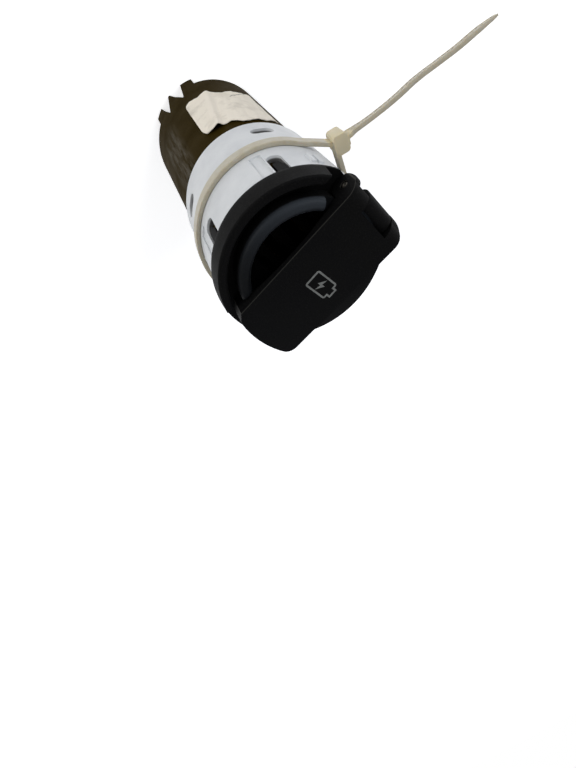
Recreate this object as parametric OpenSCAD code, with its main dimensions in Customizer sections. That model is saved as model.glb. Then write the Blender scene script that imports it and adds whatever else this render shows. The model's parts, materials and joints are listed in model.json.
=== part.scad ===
// Round panel-mounted charging socket with a hinged lid, for a car's console.
// The origin is the centre of the flange's back, +Z points out of the panel,
// +X points to the lid's finger tab and +Y to the lid's hinge. Millimetres.

/* [Bezel] */
// Radius of the flange that rests on the panel
flange_r = 17; // [16.8:0.1:18.5]
// Thickness of the flange
flange_t = 0.8; // [0.6:0.1:1]
// Depth of the relief behind the flange for the ring's front edge
seat_relief = 0.1; // [0.05:0.05:0.2]
// Height of the raised rim over the flange's back
rim_h = 4.5; // [3.5:0.1:4.8]
// Radial thickness of the raised rim at its front edge
rim_wall = 1.7; // [1.2:0.1:1.9]
// How far the rim's outside leans in towards its front edge
rim_draft = 0.25; // [0:0.05:0.4]
// Gap between the rim's end and the lid beside the hinge
rim_slit = 3.5; // [2.5:0.1:4]
// Gap between the rim's end and the lid at the lid's foot
foot_slit = 0.7; // [0.5:0.1:1.5]
// Distance of the flange's straight edge behind the hinge from the socket's axis
chord_y = 15.6; // [15.4:0.05:15.8]
// Radius of the mouth
mouth_r = 10.9; // [10.6:0.1:11.1]
// Wall of the collar round the mouth
collar_wall = 2.25; // [2:0.05:2.4]
// Height of the collar over the flange's back
collar_h = 5.15; // [4.6:0.05:5.3]
// Direction of the collar's end beside the hinge
collar_end = 125; // [123:0.5:127]
// Rounding of the collar's lip
lip_round = 1; // [0.6:0.1:1.1]
// Depth of the mouth behind the flange's back
mouth_depth = 6.6; // [6:0.2:8]
// Thickness of the ledge that carries the port face
ledge_t = 1.6; // [1.2:0.1:2]
// How far the ledge reaches in from the mouth's wall
ledge_w = 1.4; // [1:0.1:1.8]

/* [Lid and hinge] */
// Thickness of the lid's plate
lid_t = 1.05; // [0.9:0.05:1.4]
// Clearance between the collar's lip and the lid
lid_gap = 0.25; // [0.2:0.05:0.4]
// Distance of the lid's straight edge from the socket's axis
lid_edge = 5.8; // [5.2:0.1:6.4]
// Reach of the lid's lobes on the side of the finger tab
lobe_reach = 9.3; // [9:0.1:9.6]
// Reach of the lid's lower end
lid_foot = 15.9; // [15.6:0.1:16.2]
// Radius of the lobes' outer corners
lobe_corner = 2.5; // [2:0.1:3]
// Reach of the finger tab
tab_reach = 11.95; // [11.4:0.05:12.4]
// Radius of the finger tab's edge
tab_r = 14.7; // [14:0.1:16]
// How far the finger tab slopes down to its edge
tab_drop = 0.45; // [0.2:0.05:0.6]
// Thickness of the skirt round the lid's lower lobe
skirt_t = 1.1; // [0.9:0.1:1.3]
// Distance of the hinge axis from the socket's axis
hinge_y = 14.35; // [14.25:0.05:14.5]
// Height of the hinge axis over the flange's back
hinge_z = 3; // [2.95:0.05:3.15]
// Radius of the hinge pin
pin_r = 0.75; // [0.6:0.05:0.85]
// Running clearance of the pin in the lid's ears
pin_play = 0.04; // [0.02:0.01:0.08]
// Clearance of the pin where it is held in the knuckle
pin_seat = 0.01; // [0:0.01:0.02]
// Radius of the fixed knuckle
knuckle_r = 2.3; // [2.2:0.05:2.4]
// Length of the fixed knuckle
knuckle_len = 7; // [6:0.1:7.2]
// Distance of the knuckle's middle from the socket's axis
knuckle_x = 2.1; // [1.8:0.1:2.4]
// Radius of the boss on each of the lid's ears
ear_r = 2.35; // [2.2:0.05:2.4]
// Side clearance between the ears and the knuckle
ear_gap = 0.25; // [0.15:0.05:0.4]
// Radius of the lid's rounded hinge end
hood_r = 3.2; // [3:0.05:3.3]
// Thickness of the rib along the lid's straight edge
rib_t = 1; // [0.8:0.1:1.2]
// Wall of the ear outside the spring
cheek_t = 1.5; // [1.3:0.1:1.7]
// Diameter of the spring's wire
wire_d = 0.36; // [0.3:0.02:0.4]
// Turns of the spring
spring_turns = 5; // [4:1:6]

/* [Retaining ring] */
// Outside radius of the white retaining ring
ring_r = 16.3; // [16.2:0.05:16.6]
// Wall of the retaining ring
ring_wall = 1.2; // [1.1:0.05:1.3]
// Length of the retaining ring
ring_len = 28; // [27:0.5:30]
// Number of notches in the ring's front edge
notch_count = 6; // [4:1:6]
// Width of a notch
notch_w = 2.8; // [2.6:0.1:3.2]
// Depth of a notch from the flange
notch_depth = 8.5; // [8:0.1:9]
// Direction of the first notch
notch_angle = 145.5; // [143:0.5:147]
// Distance of the windows' middle from the flange
window_z = 22.5; // [22:0.1:23.5]
// Width of a window along the socket's axis
window_w = 2.8; // [2:0.1:3.2]
// Length of a window round the ring
window_len = 4.8; // [4:0.1:5.2]

/* [Housing] */
// Radius of the housing inside the ring
spigot_r = 15; // [14.9:0.02:15.06]
// Wall of the housing
housing_wall = 1.65; // [1.5:0.05:1.75]
// How far the barrel lies inside the ring's outside
barrel_step = 0.8; // [0.6:0.05:0.9]
// How much the barrel widens to its rear rim
barrel_flare = 0.5; // [0.3:0.05:0.6]
// Distance of the rear rim behind the flange
rim_z = 71.5; // [70:0.5:74]
// How far the teeth stand out behind the rear rim
tooth_len = 5; // [4:0.5:6]
// Depth of the gaps between the teeth from the rear rim
gap_depth = 5.5; // [4:0.5:6]

/* [Ports and electronics] */
// Width of a port's metal shell
shell_w = 13.1; // [12.9:0.1:13.3]
// Height of a port's metal shell
shell_h = 5.7; // [5.5:0.1:5.8]
// Length of a port's metal shell
shell_len = 14; // [13:0.5:15]
// Sheet thickness of a port's metal shell
shell_t = 0.3; // [0.2:0.05:0.35]
// Distance of a port's middle from the socket's axis
port_y = 3.75; // [3.7:0.05:3.9]
// Width of the plastic tongue in a port
tongue_w = 11.1; // [10.9:0.1:11.3]
// Thickness of the plastic tongue in a port
tongue_t = 1.84; // [1.7:0.02:1.9]
// Length of the plastic block behind the tongue
block_len = 3.2; // [2.6:0.2:4]
// Thickness of the circuit board
board_t = 1.2; // [1:0.1:1.4]
// Width of the circuit board
board_w = 24.8; // [24:0.2:25.2]
// Distance of the board's rear edge behind the flange
board_end = 54; // [53:0.5:55]
// Side of the square inductor
inductor_w = 9.6; // [8:0.2:10]
// Height of the inductor
inductor_h = 4.6; // [4:0.1:5]
// Radius of the input capacitor
input_cap_r = 4; // [3.5:0.1:4.2]
// Length of the input capacitor
input_cap_len = 12; // [10:0.5:13]
// Radius of the output capacitor
output_cap_r = 3.15; // [2.5:0.05:3.3]
// Length of the output capacitor
output_cap_len = 9; // [7:0.5:10]
// Width of the control chip's body
chip_w = 5; // [4:0.1:5]
// Length of the control chip's body
chip_len = 4; // [3.8:0.1:4.4]
// Distance of the inductor and the chip behind the flange
inductor_z = 32; // [31:0.5:33]
// Distance of the capacitors' closed ends behind the flange
capacitor_z = 39; // [38:0.5:40]
// Distance of the small ceramic parts behind the flange
parts_z = 43; // [42:0.5:45]
// Length of a small ceramic part
part_len = 1.6; // [1:0.1:1.6]
// Pitch of the small ceramic parts
part_pitch = 3.2; // [2.8:0.1:3.4]

/* [Rear connector] */
// Distance of the connector's base behind the flange
connector_z = 56; // [55.5:0.5:57]
// Thickness of the connector's base
connector_t = 3; // [2.5:0.1:3.5]
// Inside width of the connector's shroud
plug_w = 14.6; // [13:0.1:15]
// Inside height of the connector's shroud
plug_h = 9.4; // [9:0.1:10]
// Depth of the connector's shroud
plug_depth = 10; // [9:0.5:11]
// Wall of the connector's shroud
plug_wall = 1.2; // [1:0.1:1.4]
// Width of a blade terminal
blade_w = 2.8; // [2.4:0.1:3]
// Thickness of a blade terminal
blade_t = 0.8; // [0.6:0.1:0.9]
// Distance of a blade terminal from the middle
blade_x = 3.6; // [3.2:0.1:4]

/* [Label] */
// Thickness of the paper label on the barrel
label_t = 0.14; // [0.1:0.02:0.2]
// Direction of the label's middle
label_angle = 140; // [136:1:144]
// Width of the label round the barrel
label_w = 17.6; // [16:0.2:18]
// Length of the label
label_len = 28.1; // [27:0.1:29]
// Distance of the label's front corner behind the flange
label_front = 31.7; // [31:0.1:32.5]

/* [Cable tie] */
// Width of the cable tie
tie_w = 2.5; // [2.3:0.1:2.7]
// Thickness of the cable tie's strap
tie_t = 0.9; // [0.8:0.05:1]
// Distance of the tie's middle from the flange
tie_z = 13.45; // [13:0.05:14]
// Width of the tie's head across the strap's run
head_w = 3.8; // [3.5:0.1:4.1]
// Depth of the tie's head along the strap's run
head_d = 3.2; // [3:0.1:3.5]
// How far the tie's head is wider than its strap
head_over = 1.4; // [1.2:0.1:1.6]
// Distance of the head's middle from the strap's circle
head_out = 3.25; // [3.1:0.05:3.4]
// Length of the tie's loose tail
tail_len = 34; // [30:0.5:36]

/* [Hidden] */
$fn = 96;
far = 60;
slide_fit = 0.1;

collar_r = mouth_r + collar_wall;
groove_r = flange_r - rim_draft - rim_wall;
flat_y = hinge_y - ear_r - 0.25;
pocket_z = hinge_z - ear_r - 0.3;
lid_under = collar_h + lid_gap;
lid_top = lid_under + lid_t;
rib_room_z = collar_h - 1.6;

knuckle_x0 = knuckle_x - knuckle_len / 2;
knuckle_x1 = knuckle_x + knuckle_len / 2;
slot_y = hinge_y - 1.15;
knuckle_flat = 1.1;
pin_x0 = -lid_edge + 0.15;
pin_x1 = lobe_reach - 1;
spring_r = pin_r + wire_d / 2 + 0.42;
spring_room_r = spring_r + wire_d / 2 + 0.25;
spring_room_x0 = -lid_edge + cheek_t;
hood_cut_z = hinge_z + 1.75;

ring_bore = ring_r - ring_wall;
ring_front = -0.15;
shoulder_z = -ring_len - slide_fit;
spigot_bore = spigot_r - housing_wall;
tube_r = spigot_bore - slide_fit;
barrel_r = ring_r - barrel_step;
rear_r = barrel_r + barrel_flare;
barrel_bore = barrel_r - housing_wall;
ledge_z = -mouth_depth - ledge_t;
tube_end = ledge_z - ledge_t;

port_front = -mouth_depth - 0.1;
shell_end = port_front - shell_len;
board_front = shell_end + 5;
contact_w = 1;
contact_t = 0.2;
contact_pitch = 2.33;
contact_count = 4;
centre_gap = 1.4;

tooth_groups = 3;
group_half = 25.5;
tooth_gaps = [[[-14.2, -0.2], [-13.8, 0], [-9.9, 0.96], [-9, 1], [-3.2, 0.52], [0.5, 0.04], [0.5, -0.2]],
              [[2.6, -0.2], [2.6, 0.04], [8.6, 0.94], [9.3, 0.96], [12.6, 0.53], [15.2, 0.03], [15.2, -0.2]]];

tie_r = ring_r + 0.06;
tie_mid = tie_r + tie_t / 2;
lead_angle = 122;
return_angle = 80;
head_angle = 97.6;
head_turn = -20;
head_at = (tie_mid + head_out) * [cos(head_angle), sin(head_angle)];
tail_twist = -17;
// Places of the tail as shares of its length, with shares of its twist and of its width
tail_shape = [[0.015, 0.059, 0, 1], [0.023, 0.094, 0.6, 1], [0.04, 0.15, 0.9, 1], [0.059, 0.224, 1, 1],
              [0.087, 0.362, 1, 1], [0.105, 0.5, 1, 1], [0.137, 0.632, 1, 1], [0.167, 0.759, 1, 1],
              [0.189, 0.888, 1, 0.96], [0.205, 0.962, 1, 0.7], [0.212, 0.994, 1, 0.45]];
tail_route = [for (p = tail_shape)
    [head_at[0] + p[0] * tail_len, head_at[1] + p[1] * tail_len, p[2] * tail_twist, p[3]]];

// Points of an arc, with both of its ends
function arc(centre, r, a0, a1, steps = 12) =
    [for (i = [0:steps]) centre + r * [cos(a0 + (a1 - a0) * i / steps), sin(a0 + (a1 - a0) * i / steps)]];

// A flat sector of the circle of radius far, between two angles less than 180 degrees apart
module sector(a0, a1) {
    polygon(concat([[0, 0]], arc([0, 0], far, a0, a1, 6)));
}

// A tube with open ends between two heights
module tube(r_out, r_in, z0, z1) {
    translate([0, 0, z0])
        difference() {
            cylinder(r = r_out, h = z1 - z0);
            translate([0, 0, -1]) cylinder(r = r_in, h = z1 - z0 + 2);
        }
}

// A box that is centred on X and Y and runs between two heights
module post(size_x, size_y, z0, z1) {
    translate([-size_x / 2, -size_y / 2, z0]) cube([size_x, size_y, z1 - z0]);
}

// A section drawn in Y and Z, drawn out along X between two places
module along_x(x0, x1) {
    translate([x0, 0, 0]) rotate([90, 0, 90]) linear_extrude(height = x1 - x0) children();
}

// The raised rim's section, with a rounded front edge and a leaning outside
module rim_section() {
    edge = 0.5;
    front = flange_r - rim_draft;
    polygon(concat([[groove_r, flange_t / 2], [flange_r, flange_t / 2], [flange_r, flange_t]],
                   arc([front - edge, rim_h - edge], edge, 0, 90, 6),
                   arc([groove_r + edge, rim_h - edge], edge, 90, 180, 6)));
}

// The collar's section, with a rounded lip
module collar_section() {
    polygon(concat([[mouth_r, flange_t / 2], [collar_r, flange_t / 2]],
                   arc([collar_r - lip_round, collar_h - lip_round], lip_round, 0, 90, 8),
                   arc([mouth_r + lip_round, collar_h - lip_round], lip_round, 90, 180, 8)));
}

// The rim stands only beside the part of the mouth that the lid leaves open
module rim() {
    intersection() {
        rotate_extrude() rim_section();
        union() {
            translate([-far - lid_edge - rim_slit, 0, 0]) cube(far);
            translate([-far - lid_edge - foot_slit, -far, 0]) cube([far, far + 0.1, far]);
        }
    }
}

// The collar is cut flat where the hinge sits behind it, and open for the rib along the lid's edge
module collar() {
    rib_room = 0.35;
    difference() {
        rotate_extrude() collar_section();
        translate([-lid_edge - 0.6, flat_y, flange_t])
            cube([lid_edge + lobe_reach + 1.2, far, far]);
        translate([-lid_edge - rib_room, -far / 2, rib_room_z])
            cube([rib_t + 2 * rib_room, far, far]);
        translate([0, 0, rib_room_z]) linear_extrude(height = far) sector(95, collar_end);
    }
}

// Shallow pockets in the flange that the lid's ears turn in
module ear_pockets() {
    translate([-lid_edge - 0.4, flat_y, pocket_z])
        cube([knuckle_x0 + lid_edge + 0.4, far, flange_t]);
    translate([knuckle_x1, flat_y, pocket_z])
        cube([lobe_reach + 0.4 - knuckle_x1, far, flange_t]);
}

// The fixed knuckle stands on the flange between the lid's ears
module knuckle() {
    near = hinge_y - knuckle_flat;
    along_x(knuckle_x0, knuckle_x1)
        intersection() {
            union() {
                translate([hinge_y, hinge_z]) circle(r = knuckle_r);
                translate([near, 0.1]) square([chord_y - near, hinge_z - 0.1]);
            }
            translate([near, 0]) square(far);
        }
}

// Pointed tabs behind the flange that snap into the ring's notches
module snap_tabs() {
    tab_w = notch_w - 0.9;
    tab_len = notch_depth - 2.6;
    for (i = [0:notch_count - 1])
        rotate([0, 0, notch_angle + i * 360 / notch_count])
            translate([spigot_r + slide_fit, 0, 0])
                rotate([90, 0, 90])
                    linear_extrude(height = ring_wall - slide_fit)
                        polygon([[-tab_w / 2, flange_t / 2], [-tab_w / 2, -tab_len + tab_w],
                                 [-tab_w / 6, -tab_len], [tab_w / 2, -tab_len + 0.7], [tab_w / 2, flange_t / 2]]);
}

module bezel() {
    color([0.07, 0.07, 0.075])
        difference() {
            union() {
                difference() {
                    cylinder(r = flange_r, h = flange_t);
                    translate([-far / 2, chord_y, -1]) cube(far);
                    translate([0, 0, seat_relief - 1]) cylinder(r = ring_r + 0.2, h = 1);
                    ear_pockets();
                }
                rim();
                collar();
                knuckle();
                snap_tabs();
                translate([0, 0, tube_end]) cylinder(r = tube_r, h = flange_t / 2 - tube_end);
            }
            translate([0, 0, -mouth_depth - ledge_t]) cylinder(r = mouth_r, h = far);
            translate([0, 0, -far + ledge_z + 0.1]) cylinder(r = mouth_r - ledge_w, h = far);
            along_x(knuckle_x0 - 1, knuckle_x1 + 1)
                translate([hinge_y, hinge_z]) circle(r = pin_r + pin_seat, $fn = 48);
        }
}

// The lid's outline, drawn smaller by an inset
module lid_plan(inset = 0) {
    bow_r = 20.8;
    corner = lobe_corner - inset;
    reach = lobe_reach - inset;
    tab_centre = [tab_reach - tab_r, 1.05];
    tab_edge = tab_r - inset;
    tab_angle = acos((reach - tab_centre[0]) / tab_edge);
    bow_centre = [2.2, bow_r - lid_foot];
    side_corner = 1;
    top = hinge_y + ear_r + 0.05 - inset;
    polygon(concat(arc(bow_centre, bow_r - inset, -108, -77, 8),
                   arc([reach - corner, -lid_foot + inset + corner + 0.55], corner, -60, 0, 6),
                   arc(tab_centre, tab_edge, -tab_angle, tab_angle, 20),
                   arc([reach - corner, top - corner], corner, 0, 90, 6),
                   arc([-lid_edge + side_corner, top - side_corner], side_corner - inset / 2, 90, 180, 5),
                   [[-lid_edge + inset, -lid_foot + 2.6]]));
}

// The lid seen from its side: a flat plate with a rounded hinge end over the ears' bosses
module lid_side() {
    hood = [hinge_y + ear_r - hood_r - 0.4, lid_top - hood_r];
    union() {
        translate([-lid_foot - 1, lid_under]) square([lid_foot + 1 + hinge_y - ear_r + 0.1, lid_t]);
        polygon(concat([[hinge_y - ear_r, hinge_z], [hood[0] + hood_r, hinge_z]],
                       arc(hood, hood_r, 0, 90, 14), [[hinge_y - ear_r, lid_top]]));
        translate([hinge_y, hinge_z]) circle(r = ear_r);
    }
}

// The skirt round the lower lobe hangs into the groove outside the collar
module lid_skirt() {
    skirt_z = flange_t + 0.5;
    translate([0, 0, skirt_z])
        linear_extrude(height = lid_under - skirt_z + 0.1)
            difference() {
                lid_plan();
                lid_plan(skirt_t);
                circle(r = collar_r + 0.35);
                translate([-far, -collar_r + 3]) square([2 * far, far]);
            }
}

// The rib along the lid's straight edge: deep at the ears, arched up to the plate in its middle
module lid_rib() {
    foot_y = -lid_foot + 2.6;
    span = 2 * (hinge_y - ear_r);
    low_z = rib_room_z + 0.3;
    rise = lid_under + 0.1 - low_z;
    arch_r = span * span / 8 / rise + rise / 2;
    along_x(-lid_edge, -lid_edge + rib_t)
        difference() {
            translate([foot_y, low_z]) square([hinge_y - ear_r + 0.2 - foot_y, lid_top - 0.4 - low_z]);
            translate([0, low_z + rise - arch_r]) circle(r = arch_r, $fn = 192);
        }
}

// The slope on top of the finger tab, cut from a crease beside the lobes
module tab_slope() {
    run = tab_reach - lobe_reach;
    rotate([90, 0, 0])
        translate([0, 0, -far / 2])
            linear_extrude(height = far)
                polygon([[lobe_reach, lid_top], [lobe_reach + 2 * run, lid_top - 2 * tab_drop],
                         [lobe_reach + 2 * run, lid_top + 5], [lobe_reach, lid_top + 5]]);
}

module lid() {
    ear_x0 = knuckle_x0 - ear_gap;
    ear_x1 = knuckle_x1 + ear_gap;
    color([0.08, 0.08, 0.085])
        difference() {
            union() {
                intersection() {
                    along_x(-lid_edge - 1, tab_reach + 1) lid_side();
                    translate([0, 0, -1]) linear_extrude(height = far) lid_plan();
                }
                lid_skirt();
                lid_rib();
            }
            translate([ear_x0, slot_y, -1]) cube([ear_x1 - ear_x0, far, far]);
            along_x(ear_x0, ear_x1) translate([hinge_y - ear_r - 1, 0]) square([ear_r, lid_under]);
            along_x(spring_room_x0, ear_x0 + 0.1)
                union() {
                    translate([hinge_y, hinge_z]) circle(r = spring_room_r);
                    translate([hinge_y - ear_r - 1, -1]) square([far, hood_cut_z + 1]);
                }
            along_x(pin_x0 - 1, pin_x1 + 0.2)
                translate([hinge_y, hinge_z]) circle(r = pin_r + pin_play, $fn = 48);
            tab_slope();
        }
}

// A battery's outline with its nub, drawn smaller by an inset
module battery_plan(inset) {
    body = [5.4, 3.7] - [2, 2] * inset;
    nub = [1.6, 2] - [2, 2] * inset;
    corner = 0.5 - inset;
    square([body[0] - 2 * corner, body[1]], center = true);
    square([body[0], body[1] - 2 * corner], center = true);
    for (side_x = [-1, 1])
        for (side_y = [-1, 1])
            translate([side_x * (body[0] / 2 - corner), side_y * (body[1] / 2 - corner)])
                circle(r = corner, $fn = 24);
    translate([2.7, 0]) square(nub, center = true);
}

// A generic battery outline with a bolt in it, printed on the lid
module lid_icon() {
    line = 0.36;
    icon_t = 0.04;
    color([0.78, 0.8, 0.8])
        translate([2.8, -0.3, lid_top])
            rotate([0, 0, 2])
                linear_extrude(height = icon_t)
                    union() {
                        difference() {
                            battery_plan(0);
                            battery_plan(line);
                        }
                        polygon([[0.35, 1.3], [-0.85, -0.15], [-0.1, -0.15],
                                 [-0.35, -1.3], [0.85, 0.15], [0.1, 0.15]]);
                    }
}

module hinge_pin() {
    color([0.6, 0.6, 0.62])
        along_x(pin_x0, pin_x1)
            translate([hinge_y, hinge_z]) circle(r = pin_r, $fn = 48);
}

// Points of a closed ring of the wire at one place of the helix round the hinge axis
function wire_ring(x, angle, r, sides) =
    [for (k = [0:sides - 1])
        let (out = r + wire_d / 2 * cos(360 * k / sides))
        [x + wire_d / 2 * sin(360 * k / sides), hinge_y + out * cos(angle), hinge_z + out * sin(angle)]];

// Triangles that join rings of points into a closed tube
function tube_faces(rings, sides) =
    concat([[for (k = [0:sides - 1]) k]],
           [[for (k = [sides - 1:-1:0]) (rings - 1) * sides + k]],
           [for (i = [0:rings - 2], k = [0:sides - 1])
               let (a = i * sides + k, b = i * sides + (k + 1) % sides)
               each [[a, a + sides, b + sides], [a, b + sides, b]]]);

// Torsion spring: a helix round the pin between the left ear's cheek and the knuckle
module lid_spring() {
    sides = 8;
    per_turn = 20;
    x0 = spring_room_x0 + wire_d / 2 + 0.12;
    x1 = knuckle_x0 - wire_d / 2 - 0.06;
    steps = spring_turns * per_turn;
    rings = [for (i = [0:steps])
                wire_ring(x0 + (x1 - x0) * i / steps, 100 + 360 * i / per_turn, spring_r, sides)];
    color([0.72, 0.72, 0.74])
        polyhedron(points = [for (ring = rings) each ring], faces = tube_faces(steps + 1, sides));
}

// One notch in the ring's front edge, with a round end
module ring_notch() {
    end_z = -notch_depth + notch_w / 2;
    translate([ring_bore - 1, 0, end_z]) rotate([0, 90, 0]) cylinder(d = notch_w, h = ring_wall + 3);
    translate([ring_bore - 1, -notch_w / 2, end_z]) cube([ring_wall + 3, notch_w, far]);
}

// One slot through the ring near its rear edge, with round ends
module ring_window() {
    run = window_len - window_w;
    for (side = [-1, 1])
        translate([ring_bore - 1, side * run / 2, -window_z])
            rotate([0, 90, 0]) cylinder(d = window_w, h = ring_wall + 3);
    translate([ring_bore - 1, -run / 2, -window_z - window_w / 2])
        cube([ring_wall + 3, run, window_w]);
}

module retaining_ring() {
    crush_len = 3.4;
    flat_depth = 0.35;
    step = 360 / notch_count;
    color([0.9, 0.91, 0.93])
        difference() {
            union() {
                tube(ring_r, ring_bore, -ring_len, ring_front);
                for (half_turn = [0, 180])
                    for (offset_angle = [-22, -27])
                        rotate([0, 0, notch_angle + offset_angle + half_turn])
                            translate([ring_r - 0.4, -0.5, -3.6 - crush_len])
                                cube([0.75, 1, crush_len]);
            }
            for (i = [0:notch_count - 1]) {
                rotate([0, 0, notch_angle + i * step]) ring_notch();
                rotate([0, 0, notch_angle + 9.5 + i * step])
                    translate([ring_r - flat_depth, -1.1, -tie_z + tie_w / 2 + 1.4])
                        cube([2, 2.2, tie_z - tie_w / 2 - 2]);
            }
            for (angle = [-3.5, 74, 176.5, 254])
                rotate([0, 0, label_angle + angle]) ring_window();
        }
}

// Outside of the housing: a plain spigot inside the ring, then the barrel that widens to the rear
module housing_outside() {
    end_z = -rim_z - tooth_len;
    slope = (rear_r - barrel_r) / (rim_z - ring_len);
    end_r = rear_r + slope * tooth_len;
    rotate_extrude()
        polygon([[0, end_z], [end_r - 0.3, end_z], [end_r, end_z + 0.3], [barrel_r, shoulder_z - 0.3],
                 [barrel_r - 0.3, shoulder_z], [spigot_r, shoulder_z], [spigot_r, ring_front - 0.6],
                 [spigot_r - 0.4, ring_front - 0.2], [0, ring_front - 0.2]]);
}

// Everything behind the rear rim that isn't a tooth, and the slanting gaps between the teeth
module rear_cuts() {
    step = 360 / tooth_groups;
    height = tooth_len + gap_depth;
    for (i = [0:tooth_groups - 1])
        rotate([0, 0, 180 - 3 + i * step]) {
            translate([0, 0, -far - rim_z])
                linear_extrude(height = far) sector(group_half, step - group_half);
            for (gap = tooth_gaps)
                rotate([90, 0, 90])
                    linear_extrude(height = far)
                        polygon([for (p = gap) [rear_r * sin(p[0]), p[1] * height - rim_z - tooth_len]]);
        }
}

// Rails inside the barrel that hold the board's long edges
module board_rails() {
    rail_t = 1.4;
    rail_w = 2.2;
    rail_z0 = -board_end + 2;
    intersection() {
        for (side_x = [-1, 1])
            for (side_y = [-1, 1])
                translate([side_x * (board_w / 2 + 0.6), side_y * (board_t / 2 + 0.1 + rail_t / 2), 0])
                    post(rail_w + 1.2, rail_t, rail_z0, shoulder_z - 1);
        translate([0, 0, -far]) cylinder(r = barrel_bore + 0.4, h = far);
    }
}

module housing() {
    color([0.12, 0.105, 0.09])
        difference() {
            union() {
                difference() {
                    housing_outside();
                    translate([0, 0, shoulder_z - housing_wall - 0.01]) cylinder(r = spigot_bore, h = far);
                    translate([0, 0, shoulder_z - housing_wall - far]) cylinder(r = barrel_bore, h = far);
                }
                board_rails();
            }
            rear_cuts();
        }
}

// Places of the two ports, one above the other
module at_port(side) {
    translate([0, side * port_y, 0]) rotate([0, 0, side > 0 ? 0 : 180]) children();
}

module port_face() {
    fit = 0.08;
    color([0.05, 0.05, 0.055])
        difference() {
            translate([0, 0, ledge_z + 0.1])
                cylinder(r = mouth_r - 0.05, h = ledge_t - 0.1);
            for (side = [-1, 1])
                at_port(side) post(shell_w + 2 * fit, shell_h + 2 * fit, ledge_z - 1, 1);
        }
}

// A folded sheet tube that is open at both ends
module usb_shell(side) {
    color([0.3, 0.3, 0.32])
        at_port(side)
            difference() {
                post(shell_w, shell_h, shell_end, port_front);
                post(shell_w - 2 * shell_t, shell_h - 2 * shell_t, shell_end - 1, 1);
            }
}

// The plastic tongue and the block at its rear that fills the shell
module usb_tongue(side) {
    color([0.1, 0.1, 0.1])
        at_port(side) {
            translate([0, 0.75, 0]) post(tongue_w, tongue_t, shell_end + 0.5, port_front - 0.8);
            post(shell_w - 2 * shell_t - 0.04, shell_h - 2 * shell_t - 0.04,
                 shell_end, shell_end + block_len);
        }
}

// Flat contacts on the tongue's inner face
module usb_contacts(side) {
    face_y = 0.75 - tongue_t / 2;
    color([0.83, 0.67, 0.3])
        at_port(side)
            for (i = [0:contact_count - 1])
                translate([(i - (contact_count - 1) / 2) * contact_pitch, face_y - contact_t / 2, 0])
                    post(contact_w, contact_t, shell_end + block_len, port_front - 1.6);
}

module charger_board() {
    color([0.1, 0.33, 0.18])
        difference() {
            post(board_w, board_t, -board_end, board_front);
            for (side = [-1, 1])
                translate([side * (board_w / 2 - 1), 0, board_front - 3])
                    rotate([90, 0, 0]) cylinder(r = 0.8, h = 4, center = true);
        }
}

// The inductor's square body with cut corners, flat on the board
module inductor() {
    half = inductor_w / 2;
    cut = half / 4;
    color([0.25, 0.25, 0.27])
        translate([-half - centre_gap, board_t / 2, -inductor_z])
            rotate([-90, 0, 0])
                linear_extrude(height = inductor_h)
                    polygon([for (q = [0:3], s = [0, 1])
                                let (c = [[half, half - cut], [half - cut, half]][s])
                                [c[0] * cos(90 * q) - c[1] * sin(90 * q),
                                 c[0] * sin(90 * q) + c[1] * cos(90 * q)]]);
}

// A round capacitor that lies on the board, with a crimped groove near its open end
module capacitor(r, length, groove) {
    rotate_extrude()
        polygon([[0, 0], [r - 0.3, 0], [r, 0.3], [r, 1.2], [r - groove, 1.6], [r, 2],
                 [r, length - 0.3], [r - 0.3, length], [0, length]]);
}

module input_capacitor() {
    color([0.15, 0.17, 0.35])
        translate([input_cap_r + centre_gap, board_t / 2 + input_cap_r, -capacitor_z])
            capacitor(input_cap_r, input_cap_len, 0.35);
}

module output_capacitor() {
    color([0.15, 0.17, 0.35])
        translate([-output_cap_r - 2 * centre_gap, -board_t / 2 - output_cap_r, -capacitor_z])
            capacitor(output_cap_r, output_cap_len, 0.3);
}

// The control chip with its rows of legs
module control_chip() {
    legs = 4;
    pitch = chip_w / legs;
    leg = [0.4, 0.8, 1.2];
    color([0.09, 0.09, 0.1])
        translate([chip_w / 2 + centre_gap, -board_t / 2, -inductor_z])
            union() {
                translate([0, -0.85, 0]) post(chip_w, 1.4, -chip_len / 2, chip_len / 2);
                for (i = [0:legs - 1])
                    for (side = [-1, 1])
                        translate([(i + 0.5) * pitch - chip_w / 2 - leg[0] / 2, -leg[1],
                                   side * (chip_len / 2 + 0.4) - leg[2] / 2]) cube(leg);
            }
}

// Small ceramic parts in two rows on the board
module chip_parts() {
    side = part_len / 2;
    color([0.62, 0.52, 0.38])
        for (i = [0:4]) {
            translate([(i - 2.5) * part_pitch, board_t / 2, -parts_z]) cube([part_len, side, side]);
            translate([(i - 2) * part_pitch, -board_t / 2 - side, -parts_z - side]) cube([side, side, part_len]);
        }
}

// The base and open shroud that take the car's plug from the rear
module connector_block() {
    wide = plug_w + 2 * plug_wall;
    high = plug_h + 2 * plug_wall;
    back = -connector_z - connector_t;
    color([0.16, 0.16, 0.17])
        difference() {
            union() {
                translate([0, 0, back]) cylinder(r = barrel_bore - slide_fit, h = connector_t);
                post(wide, high, back - plug_depth, back + 0.1);
                translate([0, high / 2 + 0.4, 0]) post(4, 1.6, back - plug_depth + 2, back + 0.1);
            }
            post(plug_w, plug_h, back - far, back);
            for (side = [-1, 1]) blade(side, 0.05);
        }
}

// One blade terminal that lies on the board and runs through the connector's base
module blade(side, room) {
    tip_z = -connector_z - connector_t - plug_depth + 2.4;
    lap = 3;
    translate([side * blade_x, board_t / 2 + blade_t / 2, 0])
        post(blade_w + 2 * room, blade_t + 2 * room, tip_z, -board_end + lap);
}

module power_terminal() {
    color([0.8, 0.72, 0.5]) blade(1, 0);
}

module ground_terminal() {
    color([0.8, 0.72, 0.5]) blade(-1, 0);
}

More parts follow.
